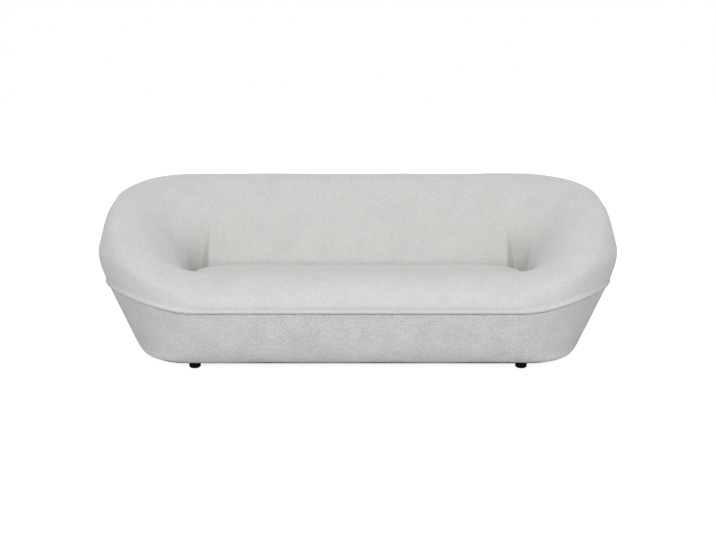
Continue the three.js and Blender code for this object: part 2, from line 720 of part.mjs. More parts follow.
for (const rib of upperRibs) {
  const plate = block([-through, -PLY / 2, deckTop + FIT], [through, PLY / 2, through]);
  plate.rotateZ(Math.atan2(rib.out.y, rib.out.x));
  plate.translate(rib.point.x, rib.point.y, 0);
  const near = tab(tabPoint(rib), rib.out, deckTop + FIT, through, FRAME_FOOT_WIDE);
  const tongue = tab(tabPoint(rib), rib.out, DECK_BOTTOM, deckTop + PLY, 0);
  const body = solid(plate).intersect(frameRoom).intersect(near).add(tongue);
  add(rib.name, geometryOf(body), plywood);
}

const footAcross = BACK_RIB_SHARES.at(-1) * ribPitch + FOOT_FROM_RIB;
const [footFront, footRear] = spanAt(panelOutline, footAcross);
const feet = [footFront + FOOT_IN, footRear - FOOT_IN].flatMap((y) => [[-footAcross, y], [footAcross, y]]);
const nutRadius = BOLT_RADIUS + FIT + NUT_WALL;
const panelHoles = feet.map(([x, y]) => upright(x, y, nutRadius + FIT, BOLT_SIDES));
const panelSlots = baseRibs.flatMap((rib) => rib.lower.map((p) => tab(p, alongY, 0, through, FIT)));
const panel = solid(slab(panelOutline, panelBottom, panelTop));
const handHoles = OPENING_SHARES.map((place) => {
  const middle = place * ribPitch;
  const half = (ribPitch - DECK_BAR) / 2;
  return solid(block([middle - half, -BASE_OPENING / 2, 0], [middle + half, BASE_OPENING / 2, through]));
});
const panelCuts = wasm.Manifold.union([...panelSlots, ...panelHoles, ...handHoles]);
add('base_panel', geometryOf(panel.subtract(panelCuts)), plywood);

const deckSlots = [
  ...baseRibs.flatMap((rib) => rib.upper.map((p) => tab(p, alongY, 0, through, FIT))),
  ...upperRibs.map((rib) => tab(tabPoint(rib), rib.out, 0, through, FIT)),
];
const openingFront = spanAt(deckRing, 0)[0] + DECK_FRONT_BAR;
const openingRear = footAt(0) - FRAME_FOOT_WIDE - DECK_REAR_BAR;
const deckOpenings = OPENING_SHARES.map((place) => {
  const middle = place * ribPitch;
  const half = (ribPitch - DECK_BAR) / 2;
  return solid(block([middle - half, openingFront, 0], [middle + half, openingRear, through]));
});
const deckLevel = solid(block([-through, -through, DECK_BOTTOM], [through, through, deckTop]));
const deck = baseHull.intersect(deckLevel).subtract(wasm.Manifold.union([...deckSlots, ...deckOpenings]));
add('deck_panel', geometryOf(deck), plywood);

// Webbing: straps woven both ways, fixed as one sheet
function lattice(acrossPlaces, alongPlaces) {
  const half = STRAP_WIDE / 2;
  const sheet = block([acrossPlaces[0] - half, alongPlaces[0] - half, 0],
    [acrossPlaces.at(-1) + half, alongPlaces.at(-1) + half, STRAP]);
  const rooms = [];
  for (let i = 0; i + 1 < acrossPlaces.length; i += 1) {
    for (let j = 0; j + 1 < alongPlaces.length; j += 1) {
      rooms.push(solid(block([acrossPlaces[i] + half, alongPlaces[j] + half, -STRAP],
        [acrossPlaces[i + 1] - half, alongPlaces[j + 1] - half, 2 * STRAP])));
    }
  }
  return geometryOf(solid(sheet).subtract(wasm.Manifold.union(rooms)));
}
const spread = (from, to, count) => {
  return Array.from({ length: count }, (unused, i) => mix(from, to, i / (count - 1)));
};
const openingEnd = OPENING_SHARES.at(-1) * ribPitch + (ribPitch - DECK_BAR) / 2;
const seatSheet = lattice(spread(-openingEnd, openingEnd, SEAT_STRAP_COUNT_ACROSS),
  spread(openingFront, openingRear, SEAT_STRAP_COUNT_ALONG));
seatSheet.translate(0, 0, deckTop + FIT);
add('seat_webbing', seatSheet, elastic);

const backTop = railTop[HALF].at(-1);
const backFoot = railTop[HALF][0];
const fall = backTop.clone().sub(backFoot);
const backEnd = BACK_RIB_SHARES.at(-1) * ribPitch - STRAP_WIDE / 2;
const backSheet = lattice(spread(-backEnd, backEnd, BACK_STRAP_COUNT_ACROSS),
  spread(-BACK_STRAP_FOOT, -BACK_STRAP_START, BACK_STRAP_COUNT_ALONG));
backSheet.translate(0, 0, FIT);
backSheet.rotateX(Math.atan2(fall.z, fall.y));
backSheet.translate(0, backTop.y, backTop.z);
add('back_webbing', backSheet, elastic);

// Stuffing: one solid under the cover, split into the seat, the back and the arms
const coreWall = [
  inset(WALL_FOOT_ROW, facingOuter),
  edge(facingOuter, 1),
  ...insets([BELT_ROW, SHOULDER_ROW, RIM_EDGE], facingOuter),
];
const coreDepth = (v) => (v === CREASE_ROW ? foamDepth + CREASE_GIVE : foamDepth);
const coreTop = upperRowShares.filter((v) => v >= RIM_EDGE).map((v) => inset(v, coreDepth(v)).map((p, i) => {
  const give = pocketShares.clone().multiplyScalar(pockets.get(v)[i] * POCKET_GIVE_SHARE);
  return p.add(i > HALF ? give.setX(-give.x) : give);
}));
const core = solid(stack(coreWall, coreTop));
const stuffed = core.trimByPlane([0, 0, 1], deckTop + strapClear);
const rearShares = stationShares.slice(HALF / 2).reverse();
const seatRight = rearShares.map((u) => guidePoint(CREASE_ROW, u));
const seatFront = guidePoint(BELT_ROW, -SEAT_END_SHARE);
const seatEndStep = new THREE.Vector3(SEAT_END_STEP, -SEAT_END_STEP, 0);
seatRight.push(seatFront.add(seatEndStep), new THREE.Vector3(seatFront.x, -through, 0));
const seatLeft = seatRight.slice(1).reverse().map((p) => new THREE.Vector3(-p.x, p.y, p.z));
const seatOutline = [...seatRight, ...seatLeft].reverse();
const seatRoom = solid(slab(seatOutline, 0, through));
const seatClear = solid(slab(grown(seatOutline, LAYER_GAP), 0, through));
add('seat_foam', geometryOf(stuffed.intersect(seatRoom)), foam);
const stuffing = stuffed.subtract(seatClear).subtract(frameClear);
const backHalf = FOLD_X - LAYER_GAP;
const armFrom = FOLD_X + LAYER_GAP;
const backPart = stuffing.intersect(solid(block([-backHalf, -through, 0], [backHalf, through, through])));
add('back_foam', geometryOf(backPart), foam);
const armPart = stuffing.intersect(solid(block([armFrom, -through, 0], [through, through, through])));
add('right_arm_foam', geometryOf(armPart), foam);
add('left_arm_foam', geometryOf(armPart.mirror([1, 0, 0])), foam);

// Dust cloth under the base
const clothOutline = grown(grid.get(0), CLOTH_LAP);
const clothTop = GROUND_GAP - LAYER_GAP;
const footHoles = feet.map(([x, y]) => upright(x, y, FOOT_RADIUS + CLOTH, FOOT_SIDES));
const cloth = solid(slab(clothOutline, clothTop - CLOTH, clothTop)).subtract(wasm.Manifold.union(footHoles));
add('dust_cloth', geometryOf(cloth), liningCloth);

// Feet with their glides, bolts and tee nuts
const footTop = panelBottom - FIT;
const boreRadius = BOLT_RADIUS + FIT;
const rounding = [0, 1, 2, 3].map((step) => {
  const angle = step / 3 * Math.PI / 2;
  return [FOOT_RADIUS - FOOT_ROUND * (1 - Math.sin(angle)), GLIDE + FOOT_ROUND * (1 - Math.cos(angle))];
});
const pinTop = GLIDE + GLIDE_PIN;
const boltFoot = footTop - BOLT_IN_FOOT;
const footProfile = [[0, pinTop + FIT], [GLIDE_PIN_RADIUS + FIT, pinTop + FIT],
  [GLIDE_PIN_RADIUS + FIT, GLIDE], ...rounding, [FOOT_RADIUS, footTop], [boreRadius, footTop],
  [boreRadius, boltFoot - FIT], [0, boltFoot - FIT]];
const glideProfile = [[0, 0], [GLIDE_RADIUS, 0], [GLIDE_RADIUS, GLIDE - FIT],
  [GLIDE_PIN_RADIUS, GLIDE - FIT], [GLIDE_PIN_RADIUS, pinTop], [0, pinTop]];
const boltProfile = [[0, boltFoot], [BOLT_RADIUS, boltFoot], [BOLT_RADIUS, panelTop + BOLT_OUT],
  [0, panelTop + BOLT_OUT]];
const flangeFoot = panelTop + FIT;
const flangeTop = flangeFoot + NUT_FLANGE;
const nutProfile = [[boreRadius, panelTop - NUT_BARREL], [nutRadius, panelTop - NUT_BARREL],
  [nutRadius, flangeFoot], [NUT_FLANGE_RADIUS, flangeFoot], [NUT_FLANGE_RADIUS, flangeTop],
  [boreRadius, flangeTop], [boreRadius, panelTop - NUT_BARREL]];
const footNames = ['front_left', 'front_right', 'rear_left', 'rear_right'];
footNames.forEach((place, i) => {
  const [x, y] = feet[i];
  const parts = [
    [`${place}_foot`, turned(footProfile, FOOT_SIDES), blackPlastic],
    [`${place}_glide`, turned(glideProfile, GLIDE_SIDES), greyPlastic],
    [`${place}_bolt`, turned(boltProfile, BOLT_SIDES), steel],
    [`${place}_tee_nut`, turned(nutProfile, BOLT_SIDES), steel],
  ];
  for (const [name, geometry, look] of parts) {
    geometry.translate(x, y, 0);
    add(name, geometry, look);
  }
});

export default sofa;
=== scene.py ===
"""The looks of a curved three-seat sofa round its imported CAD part. Metres, +Z up, front towards -Y."""
import math

import bmesh
import bpy
import numpy as np
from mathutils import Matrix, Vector
from mathutils.bvhtree import BVHTree
from mathutils.geometry import delaunay_2d_cdt

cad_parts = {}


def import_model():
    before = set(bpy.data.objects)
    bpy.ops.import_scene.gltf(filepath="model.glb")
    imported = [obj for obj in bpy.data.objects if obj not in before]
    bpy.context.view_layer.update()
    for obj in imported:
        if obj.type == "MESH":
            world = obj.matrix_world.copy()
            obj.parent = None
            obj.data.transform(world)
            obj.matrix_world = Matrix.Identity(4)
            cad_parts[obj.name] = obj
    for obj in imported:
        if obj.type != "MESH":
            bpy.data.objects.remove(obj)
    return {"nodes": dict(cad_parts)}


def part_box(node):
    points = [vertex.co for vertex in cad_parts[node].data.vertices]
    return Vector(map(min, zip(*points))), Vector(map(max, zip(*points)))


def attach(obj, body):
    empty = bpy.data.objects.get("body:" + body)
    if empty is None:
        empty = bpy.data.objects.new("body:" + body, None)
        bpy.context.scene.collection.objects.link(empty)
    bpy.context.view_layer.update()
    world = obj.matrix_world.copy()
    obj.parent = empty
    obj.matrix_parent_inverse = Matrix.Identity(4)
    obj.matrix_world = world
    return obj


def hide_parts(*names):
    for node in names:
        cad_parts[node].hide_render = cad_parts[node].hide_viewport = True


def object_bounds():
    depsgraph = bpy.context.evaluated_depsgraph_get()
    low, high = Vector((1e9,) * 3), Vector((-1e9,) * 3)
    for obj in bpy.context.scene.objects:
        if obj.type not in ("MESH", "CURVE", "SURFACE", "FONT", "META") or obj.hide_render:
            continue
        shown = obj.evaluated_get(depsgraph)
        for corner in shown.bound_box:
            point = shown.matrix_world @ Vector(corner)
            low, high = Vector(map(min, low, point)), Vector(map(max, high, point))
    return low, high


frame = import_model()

MM = 0.001
cad_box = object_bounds()
HALF_WIDTH = cad_box[1].x
HALF_DEPTH = cad_box[1].y
GROUND_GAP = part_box("base_cover")[0].z

# Heights of the skin's main lines: front, front corner, side, rear corner, back
PIPING_HEIGHTS = np.array([277, 320, 330, 334, 338]) * MM
RIM_HEIGHTS = np.array([393, 508, 668, 738, 765]) * MM
CREASE_HEIGHTS = np.array([402, 375, 312, 320, 335]) * MM
SEAT_HEIGHT = 400 * MM
SPINE_Y = -55 * MM
SPINE_Z = 397 * MM

# How far the cover is drawn in at the foot of the back, and in the pocket at each end of that crease
CREASE_TUCK = 16 * MM
POCKET_TUCK = 80 * MM
POCKET_WIDE = 90 * MM
POCKET_HIGH = 90 * MM
POCKET_Z = 385 * MM
FOLD_STEP = 10 * MM
FOLD_BEYOND = 19 * MM

# Cloth, cord and foam
COVER = 3 * MM
WELT_RADIUS = 4 * MM
WELT_SIDES = 14
# Thickness of the dark strip that paints the shade in the slot under the welt
SHADE_TAPE = 0.8 * MM
SEAM_DEPTH = 0.8 * MM
SEAM_HALF = 1.7 * MM
PAD_OUTER = 4.6 * MM
WRAP_INNER = 21 * MM
BASE_INNER = 13 * MM
PAD_VOXEL = 20 * MM
PAD_INSIDE = 2 * MM
PAD_STEP = 0.04

# Unevenness of the cloth and of the welt's radius: how much, the waves' length, and how many waves
SLACK = [(1.0 * MM, 0.42, 7), (0.45 * MM, 0.16, 9), (0.2 * MM, 0.06, 11)]
WELT_UNEVEN = (0.04, 0.05, 6)
WELT_SEED = 9

# A seam's groove and the swell beside it, in seam depths, and how much wider the swell is
SEAM_CUT = 1.35
SEAM_SWELL = 0.35
SEAM_SPREAD = 4

# Section across the piping: points by how far out and how far up they lie from its line
WELT_MIDDLE = np.array([2.5, 3]) * MM
UPPER_EDGE = np.array([(-9, 7.3), (2.5, 7.3), (5.6, 5.9), (6.9, 6.2)]) * MM
BASE_EDGE = np.array([(-0.3, -6.6), (-1.2, -5.9), (-4.5, -5.8), (-9, -5.8)]) * MM
# Edges of the dark strip that paints the shade in the slot under the welt
SHADE_TAPE_EDGES = np.array([(-1.6, -5.7), (-1.6, 1)]) * MM
LIP_RISES = np.array([7.4, 8.8, 10.4]) * MM
LIP_SHARES = (0.2, 0.4, 0.6, 0.8)
LIP_ROWS = 0.5
LIP_SAMPLES = 26
FRAME_ROWS = 0.1
LIP_FOOT = 5 * MM
LIP_ROUND = 2.5 * MM
FRONT_PUFF = 12.5 * MM
SIDE_PUFF = 2.5 * MM
PUFF_FULL = 8 * MM
PUFF_END = 27 * MM
PUFF_FACING = 0.9


# The skin: the same guide curves as the solids have, with a finer net

def in_base(*shares):
    return GROUND_GAP + (PIPING_HEIGHTS - GROUND_GAP) * shares


def in_wall(*shares):
    return PIPING_HEIGHTS + (RIM_HEIGHTS - PIPING_HEIGHTS) * shares


def in_hollow(*shares):
    return CREASE_HEIGHTS + (RIM_HEIGHTS - CREASE_HEIGHTS) * shares


def in_seat(*shares):
    return CREASE_HEIGHTS + (SEAT_HEIGHT - CREASE_HEIGHTS) * shares


# Side: how far out and how far along the side point lies. Front and back: where the corner starts, how
# far out the straight lies, and the power that shapes the corner. Shares of half the width and depth.
GUIDE_SHARES = {
    "under": ((0.797, 0.126), (0.590, 0.726, 2.30), (0.608, 0.726, 2.30), in_base(0, 0, 0, 0, 0)),
    "hem": ((0.835, 0.126), (0.603, 0.796, 2.30), (0.624, 0.796, 2.30),
            in_base(0.038, 0.030, 0.024, 0.024, 0.024)),
    "base_low": ((0.874, 0.126), (0.574, 0.857, 1.95), (0.633, 0.846, 2.30),
                 in_base(0.232, 0.193, 0.186, 0.184, 0.182)),
    "base_mid": ((0.921, 0.126), (0.557, 0.918, 1.90), (0.658, 0.905, 2.30),
                 in_base(0.612, 0.579, 0.576, 0.569, 0.561)),
    "piping": ((0.969, 0.126), (0.574, 0.970, 1.85), (0.692, 0.964, 2.30), in_base(1, 1, 1, 1, 1)),
    "belt": ((1.000, 0.168), (0.523, 1.000, 1.90), (0.726, 1.000, 2.30),
             in_wall(0.270, 0.383, 0.331, 0.312, 0.297)),
    "shoulder": ((0.990, 0.168), (0.523, 0.945, 2.05), (0.764, 0.981, 2.50),
                 in_wall(0.661, 0.745, 0.592, 0.795, 0.824)),
    "rim": ((0.942, 0.168), (0.532, 0.810, 2.20), (0.675, 0.842, 2.45), in_wall(1, 1, 1, 1, 1)),
    "inner_top": ((0.831, 0.020), (0.540, 0.640, 2.30), (0.560, 0.632, 2.10),
                  in_hollow(-0.67, 0.880, 0.900, 0.900, 0.930)),
    "inner_mid": ((0.747, 0.040), (0.540, 0.530, 2.40), (0.540, 0.453, 2.10),
                  in_hollow(-0.67, 0.500, 0.640, 0.620, 0.560)),
    "inner_low": ((0.690, 0.080), (0.540, 0.450, 2.50), (0.560, 0.326, 2.30),
                  in_hollow(-0.33, 0.180, 0.335, 0.280, 0.200)),
    "crease": ((0.655, 0.100), (0.530, 0.380, 2.60), (0.582, 0.240, 2.60), in_hollow(0, 0, 0, 0, 0)),
    "seat_rear": ((0.625, 0.050), (0.510, 0.320, 2.60), (0.550, 0.125, 2.60),
                  in_seat(0.5, 0.64, 0.42, 0.42, 0.46)),
    "seat_mid": ((0.578, -0.130), (0.490, 0.240, 2.50), (0.473, -0.035, 2.50),
                 in_seat(1, 1, 0.88, 0.88, 0.90)),
}
GUIDES = list(GUIDE_SHARES.values())
ROW = {name: row for row, name in enumerate(GUIDE_SHARES)}
LAST_ROW = len(GUIDES) - 1
SPINE_ROW = LAST_ROW + 1
SPINE_SHARE = 0.8


def smooth_step(low, high, value):
    t = np.clip((value - low) / (high - low), 0, 1)
    return t * t * (3 - 2 * t)


def height_at(heights, u):
    """Cubic through the five heights, level at both ends."""
    at = np.clip(u, -1, 1)
    slope = np.zeros(len(heights))
    slope[1:-1] = heights[2:] - heights[:-2]
    i = np.minimum(np.floor((at + 1) * 2).astype(int), 3)
    t = (at + 1) * 2 - i
    bend = 3 * (heights[i + 1] - heights[i]) - slope[i] - slope[i + 1] / 2
    turn = 2 * (heights[i] - heights[i + 1]) + (slope[i] + slope[i + 1]) / 2
    return heights[i] + slope[i] / 2 * t + bend * t ** 2 + turn * t ** 3


def guide_points(row, u):
    """Points of one guide on the right half: u is -2 in the middle of the front and 2 in that of the back."""
    if row < 0:
        return 2 * guide_points(0, u) - guide_points(1, u)
    if row == SPINE_ROW:
        spine = guide_points(LAST_ROW, u) * (SPINE_SHARE, 0, 0)
        return spine + (0, SPINE_Y, SPINE_Z)
    (side_out, side_along), front, back, heights = GUIDES[row]
    start, out, power = np.where(u[:, None] < 0, front, back).T
    along = side_along * HALF_DEPTH
    reach = np.where(u < 0, -1, 1) * out * HALF_DEPTH - along
    angle = np.minimum(np.abs(u), 1) * math.pi / 2
    bow = np.maximum(np.cos(angle), 0) ** (2 / power)
    share = np.where(np.abs(u) > 1, start * (2 - np.abs(u)), start + (side_out - start) * bow)
    turned = along + reach * np.sin(angle) ** (2 / power)
    return np.stack([share * HALF_WIDTH, turned, height_at(heights, u)], axis=-1)


def spline(p0, p1, p2, p3, t):
    return 0.5 * (2 * p1 + (p2 - p0) * t + (2 * p0 - 5 * p1 + 4 * p2 - p3) * t ** 2
                  + (3 * p1 - p0 - 3 * p2 + p3) * t ** 3)


def smooth_points(u, v):
    """Points of the skin at row v before it is drawn in."""
    row = min(int(v), LAST_ROW - 1)
    return spline(*(guide_points(row + k, u) for k in (-1, 0, 1, 2)), v - row)


FOLD_X = guide_points(ROW["crease"], np.array([1.0]))[0, 0] + FOLD_BEYOND
TUCK_PLACES = [Vector((FOLD_X, 130 * MM, 330 * MM)), Vector((775 * MM, -40 * MM, 330 * MM))]
TUCK_ROOM = 30 * MM
TUCK_REACH = 120 * MM
CREASE_WAY = np.array([0, 0.55, -0.83])
POCKET_WAY = np.array([0.45, 0.62, -0.64])

# Where the crease and the pocket start and are full, by station and by row, and how they fade
CREASE_STATIONS = (0.45, 0.95)
CREASE_FADE = 0.22
POCKET_STATIONS = (0.15, 0.55)
POCKET_ROWS = (8.4, 9.4)
POCKET_FADE = 0.3
POCKET_FADE_POWER = 1.2


def drawn_in(points, u, v):
    """The skin's points moved in along the crease and into the pocket."""
    past = v - ROW["crease"]
    crease = CREASE_TUCK * smooth_step(*CREASE_STATIONS, u) * np.exp(-abs(past) / CREASE_FADE)
    outside = np.maximum(points[:, 0] - FOLD_X, 0)
    fold = smooth_step(FOLD_X - FOLD_STEP / 2, FOLD_X + FOLD_STEP / 2, points[:, 0])
    above = np.exp(-(np.maximum(points[:, 2] - POCKET_Z, 0) / POCKET_HIGH) ** 2)
    below = math.exp(-(abs(past) / POCKET_FADE) ** POCKET_FADE_POWER)
    rows = smooth_step(*POCKET_ROWS, v) * smooth_step(*POCKET_STATIONS, u)
    pocket = POCKET_TUCK * fold * np.exp(-(outside / POCKET_WIDE) ** 2) * rows
    pocket = pocket * (above if past < 0 else below)
    return points + crease[:, None] * CREASE_WAY + pocket[:, None] * POCKET_WAY


def skin_points(u, v):
    return drawn_in(smooth_points(u, v), u, v)


# Columns of the covers: the right half from the middle of the front to the middle of the back. One
# column runs along the fold of the back, and the columns lie closer together beside it.
FRONT_COLUMNS = 24
CORNER_COLUMNS = 60
ARM_COLUMNS = 36
INSIDE_COLUMNS = 16
OUTSIDE_COLUMNS = 12
BACK_COLUMNS = FRONT_COLUMNS + CORNER_COLUMNS - ARM_COLUMNS - INSIDE_COLUMNS - OUTSIDE_COLUMNS
STATION_SAMPLES = 1601
FINEST = 1 * MM
COARSENING = 1.22
HALF = FRONT_COLUMNS + CORNER_COLUMNS
FRONT_STATIONS = np.concatenate([np.linspace(-2, -1, FRONT_COLUMNS, endpoint=False),
                                 np.linspace(-1, 0, CORNER_COLUMNS, endpoint=False)])


def growing(count):
    """Distances whose steps grow from the finest one by a constant ratio."""
    return FINEST * (COARSENING ** np.arange(1, count + 1) - 1) / (COARSENING - 1)


def stations(v):
    """The covers' stations at row v."""
    dense = np.linspace(0, 2, STATION_SAMPLES)
    across = smooth_points(dense, min(v, ROW["crease"]))[:, 0]
    outside, inside = growing(OUTSIDE_COLUMNS), growing(INSIDE_COLUMNS)
    places = np.concatenate([FOLD_X + outside[::-1], [FOLD_X], FOLD_X - inside])
    near = np.interp(places, across[::-1], dense[::-1])
    arm = np.linspace(0, near[0], ARM_COLUMNS, endpoint=False)
    back = np.linspace(near[-1], 2, BACK_COLUMNS + 1)[1:]
    return np.concatenate([FRONT_STATIONS, arm, near, back])


def rows_between(first, last, count):
    return list(np.linspace(ROW[first], ROW[last], count, endpoint=False))


BASE_ROWS = [*rows_between("under", "hem", 5), *rows_between("hem", "base_low", 6),
             *rows_between("base_low", "base_mid", 7), *rows_between("base_mid", "piping", 8)]
UPPER_ROWS = [*rows_between("piping", "belt", 12)[6:], *rows_between("belt", "shoulder", 8),
              *rows_between("shoulder", "rim", 9), *rows_between("rim", "inner_top", 9),
              *rows_between("inner_top", "inner_mid", 11), *rows_between("inner_mid", "inner_low", 11),
              *rows_between("inner_low", "crease", 11), *rows_between("crease", "seat_rear", 9),
              *rows_between("seat_rear", "seat_mid", 6)]
SPINE_STEPS = 5


def spine_rings():
    """Rings over the middle of the seat, from its last guide to a spine where front and back meet."""
    u = stations(LAST_ROW)
    low, edge = guide_points(LAST_ROW - 1, u), guide_points(LAST_ROW, u)
    spine = (guide_points(SPINE_ROW, u) + guide_points(SPINE_ROW, u[::-1])) / 2
    return [spline(low, edge, spine, edge[::-1], t) for t in np.linspace(0, 1, SPINE_STEPS + 1)]


def whole(right):
    """A ring all the way round, from the points of its right half."""
    return np.concatenate([right, right[-2:0:-1] * (-1, 1, 1)])


def rings_at(rows):
    """Rings of the drawn-in skin at some rows."""
    return np.array([whole(skin_points(stations(v), v)) for v in rows])


def normals_of(grid):
    """Outward normals of a grid of rings."""
    along = np.roll(grid, -1, axis=1) - np.roll(grid, 1, axis=1)
    up = np.gradient(grid, axis=0)
    out = np.cross(along, up)
    return out / np.maximum(np.linalg.norm(out, axis=-1, keepdims=True), 1e-12)


def ripples(points, length, count, seed):
    """A smooth field of about -1 to 1: waves of one length in seeded directions."""
    rng = np.random.default_rng(seed)
    ways = rng.normal(size=(count, 3))
    ways *= 2 * math.pi / length / np.linalg.norm(ways, axis=1, keepdims=True)
    return np.sin(points @ ways.T + rng.uniform(0, 2 * math.pi, count)).sum(axis=-1) / math.sqrt(count)


def slack(points):
    """How the cloth lies a little unevenly on its foam."""
    return sum(most * ripples(points, length, count, seed)
               for seed, (most, length, count) in enumerate(SLACK, start=1))


def seam(distance):
    """A sewn seam: a narrow groove with the cloth puffed up a little beside it."""
    groove = np.exp(-(distance / SEAM_HALF) ** 2)
    swell = np.exp(-(distance / (SEAM_SPREAD * SEAM_HALF)) ** 2)
    return SEAM_SWELL * SEAM_DEPTH * swell - SEAM_CUT * SEAM_DEPTH * groove


# Meshes

def mesh_object(name, vertices, faces, smooth=True):
    mesh = bpy.data.meshes.new(name)
    mesh.from_pydata([tuple(v) for v in vertices], [], faces)
    mesh.validate()
    piece = bpy.data.objects.new(name, mesh)
    bpy.context.scene.collection.objects.link(piece)
    if smooth:
        mesh.shade_smooth()
    return piece


def grid_faces(rows, columns, closed, start=0, flip=False):
    """Quads of a grid, whose vertices are numbered row by row."""
    faces = []
    for r in range(rows - 1):
        for c in range(columns if closed else columns - 1):
            d = (c + 1) % columns
            a = start + r * columns
            quad = (a + c, a + d, a + columns + d, a + columns + c)
            faces.append(quad[::-1] if flip else quad)
    return faces


def weld(piece, distance=0.01 * MM):
    edit = bmesh.new()
    edit.from_mesh(piece.data)
    bmesh.ops.remove_doubles(edit, verts=edit.verts, dist=distance)
    edit.to_mesh(piece.data)
    edit.free()


def shell(name, outer, inner, closed=True, top_open=True):
    """A closed skin between an outer and an inner grid that have the same columns."""
    columns = outer.shape[1]
    faces = grid_faces(len(outer), columns, closed)
    start = len(outer) * columns
    faces += grid_faces(len(inner), columns, closed, start, flip=True)
    edges = [(0, start, True)]
    if top_open:
        edges.append(((len(outer) - 1) * columns, start + (len(inner) - 1) * columns, False))
    for a, b, flip in edges:
        for c in range(columns if closed else columns - 1):
            d = (c + 1) % columns
            quad = (a + c, a + d, b + d, b + c)
            faces.append(quad[::-1] if flip else quad)
    if not closed:
        for c, flip in ((0, False), (columns - 1, True)):
            loop = [r * columns + c for r in range(len(outer))]
            back = [start + r * columns + c for r in range(len(inner))]
            face = loop + back[::-1]
            faces.append(tuple(face[::-1] if flip else face))
    return mesh_object(name, np.concatenate([outer.reshape(-1, 3), inner.reshape(-1, 3)]), faces)


# The two edges of the covers along the piping, and the piping itself

def piping_frame():
    """Centre line of the piping with its outward and upward directions."""
    row = ROW["piping"]
    rings = rings_at([row - FRAME_ROWS, row, row + FRAME_ROWS])
    out = normals_of(rings)[1]
    along = np.roll(rings[1], -1, axis=0) - np.roll(rings[1], 1, axis=0)
    up = np.cross(out, along)
    return rings[1], out, up / np.linalg.norm(up, axis=1, keepdims=True)


PIPING, PIPING_OUT, PIPING_UP = piping_frame()


def beside_piping(place):
    """A ring along the piping, moved out and up from its line."""
    out, up = place
    return PIPING + PIPING_OUT * out + PIPING_UP * up


def rise_of(rings):
    """How far above the piping's line the points of rings lie."""
    return ((rings - PIPING) * PIPING_UP).sum(axis=-1)


def lip_rings():
    """The first rings of the upper cover, spaced by how far they lie above the piping."""
    grid = rings_at(ROW["piping"] + np.linspace(0, LIP_ROWS, LIP_SAMPLES))
    rises = rise_of(grid)
    wanted = [np.full(len(PIPING), rise) for rise in LIP_RISES]
    wanted += [LIP_RISES[-1] + (rises[-1] - LIP_RISES[-1]) * share for share in LIP_SHARES]

    def point(column, rise):
        return [np.interp(rise, rises[:, column], grid[:, column, axis]) for axis in range(3)]

    return [[point(column, rise) for column, rise in enumerate(ring)] for ring in wanted]


def puffed(rings):
    """Rings above the piping, where the stuffed cover swells out over the welt, most along the front."""
    rise = rise_of(rings)
    most = SIDE_PUFF + (FRONT_PUFF - SIDE_PUFF) * smooth_step(0, PUFF_FACING, -PIPING_OUT[:, 1])
    turned = 1 - np.exp(-((rise - LIP_FOOT) / LIP_ROUND) ** 2)
    swell = most * turned * (1 - smooth_step(PUFF_FULL, PUFF_END, rise))
    return rings + PIPING_OUT * swell[..., None]


def welt():
    """The covered cord along the piping, a little uneven along its length."""
    angles = np.linspace(0, 2 * math.pi, WELT_SIDES, endpoint=False)
    most, length, count = WELT_UNEVEN
    radius = WELT_RADIUS * (1 + most * ripples(PIPING, length, count, WELT_SEED))
    middle = beside_piping(WELT_MIDDLE)
    tube = [middle + radius[:, None] * (PIPING_OUT * math.cos(a) + PIPING_UP * math.sin(a)) for a in angles]
    tube = np.array([*tube, tube[0]])
    piece = mesh_object("welt", tube.reshape(-1, 3), grid_faces(len(tube), tube.shape[1], True, flip=True))
    weld(piece)
    return piece


def painted_shade_tape():
    """A dark strip behind the slot under the welt, where the tape that the welt is sewn to lies: painted
    shade, which shows as a dark line in the slot.
    """
    outer = np.array([beside_piping(place) for place in SHADE_TAPE_EDGES])
    return shell("painted_shade_tape", outer, outer - PIPING_OUT * SHADE_TAPE)


def upper_cover():
    """The upper cover as a sewn shell, and its outer skin alone, which the foams keep inside."""
    edge = [beside_piping(place) for place in UPPER_EDGE]
    lip = lip_rings()
    body = rings_at(UPPER_ROWS)
    near = sum(v < ROW["belt"] for v in UPPER_ROWS)
    swollen = puffed(np.array([*lip, *body[:near]]))
    middle = [whole(ring) for ring in spine_rings()]
    rows = [ROW["piping"]] * (len(edge) + len(lip)) + UPPER_ROWS + [LAST_ROW] * len(middle)
    outer = np.array([*edge, *swollen, *body[near:], *middle])
    out = normals_of(outer)
    inner = outer[len(edge) - 1:] - out[len(edge) - 1:] * COVER
    keep = [*range(0, len(inner) - 1, 2), len(inner) - 1]
    lift = slack(outer)
    on_back = (outer[..., 1] > 0) & (np.array(rows)[:, None] < ROW["crease"])
    lift += np.where(on_back, seam(np.abs(outer[..., 0]) - FOLD_X), 0)
    free = np.concatenate([np.zeros(len(edge)), np.linspace(0, 1, len(lip)),
                           np.ones(len(UPPER_ROWS) + len(middle))])
    outer = outer + out * (lift * free[:, None])[..., None]
    outer[-1] = whole((outer[-1, :2 * HALF + 1] + outer[-1, 2 * HALF::-1]) / 2)
    piece = shell("upper_cover_cloth", outer, inner[keep], top_open=False)
    weld(piece)
    skin = bpy.data.meshes.new("upper_skin")
    points = [tuple(v) for v in outer.reshape(-1, 3)]
    skin.from_pydata(points, [], grid_faces(len(outer), outer.shape[1], True))
    return piece, skin


def base_cover():
    """The base's cover as a sewn shell, open underneath and along the piping."""
    edge = [beside_piping(place) for place in BASE_EDGE]
    body = rings_at(BASE_ROWS)
    outer = np.array([*body, *edge])
    out = normals_of(outer)
    inner = (outer - out * COVER)[:len(body) + 1]
    lift = slack(outer) + np.where(outer[..., 1] > 0, seam(np.abs(outer[..., 0]) - FOLD_X), 0)
    free = np.concatenate([[0], np.ones(len(body) - 1), np.zeros(len(edge))])
    outer = outer + out * (lift * free[:, None])[..., None]
    return shell("base_cover_cloth", outer, inner[[*range(0, len(inner) - 1, 2), len(inner) - 1]])


# Foams: the rows and stations that each pad spans

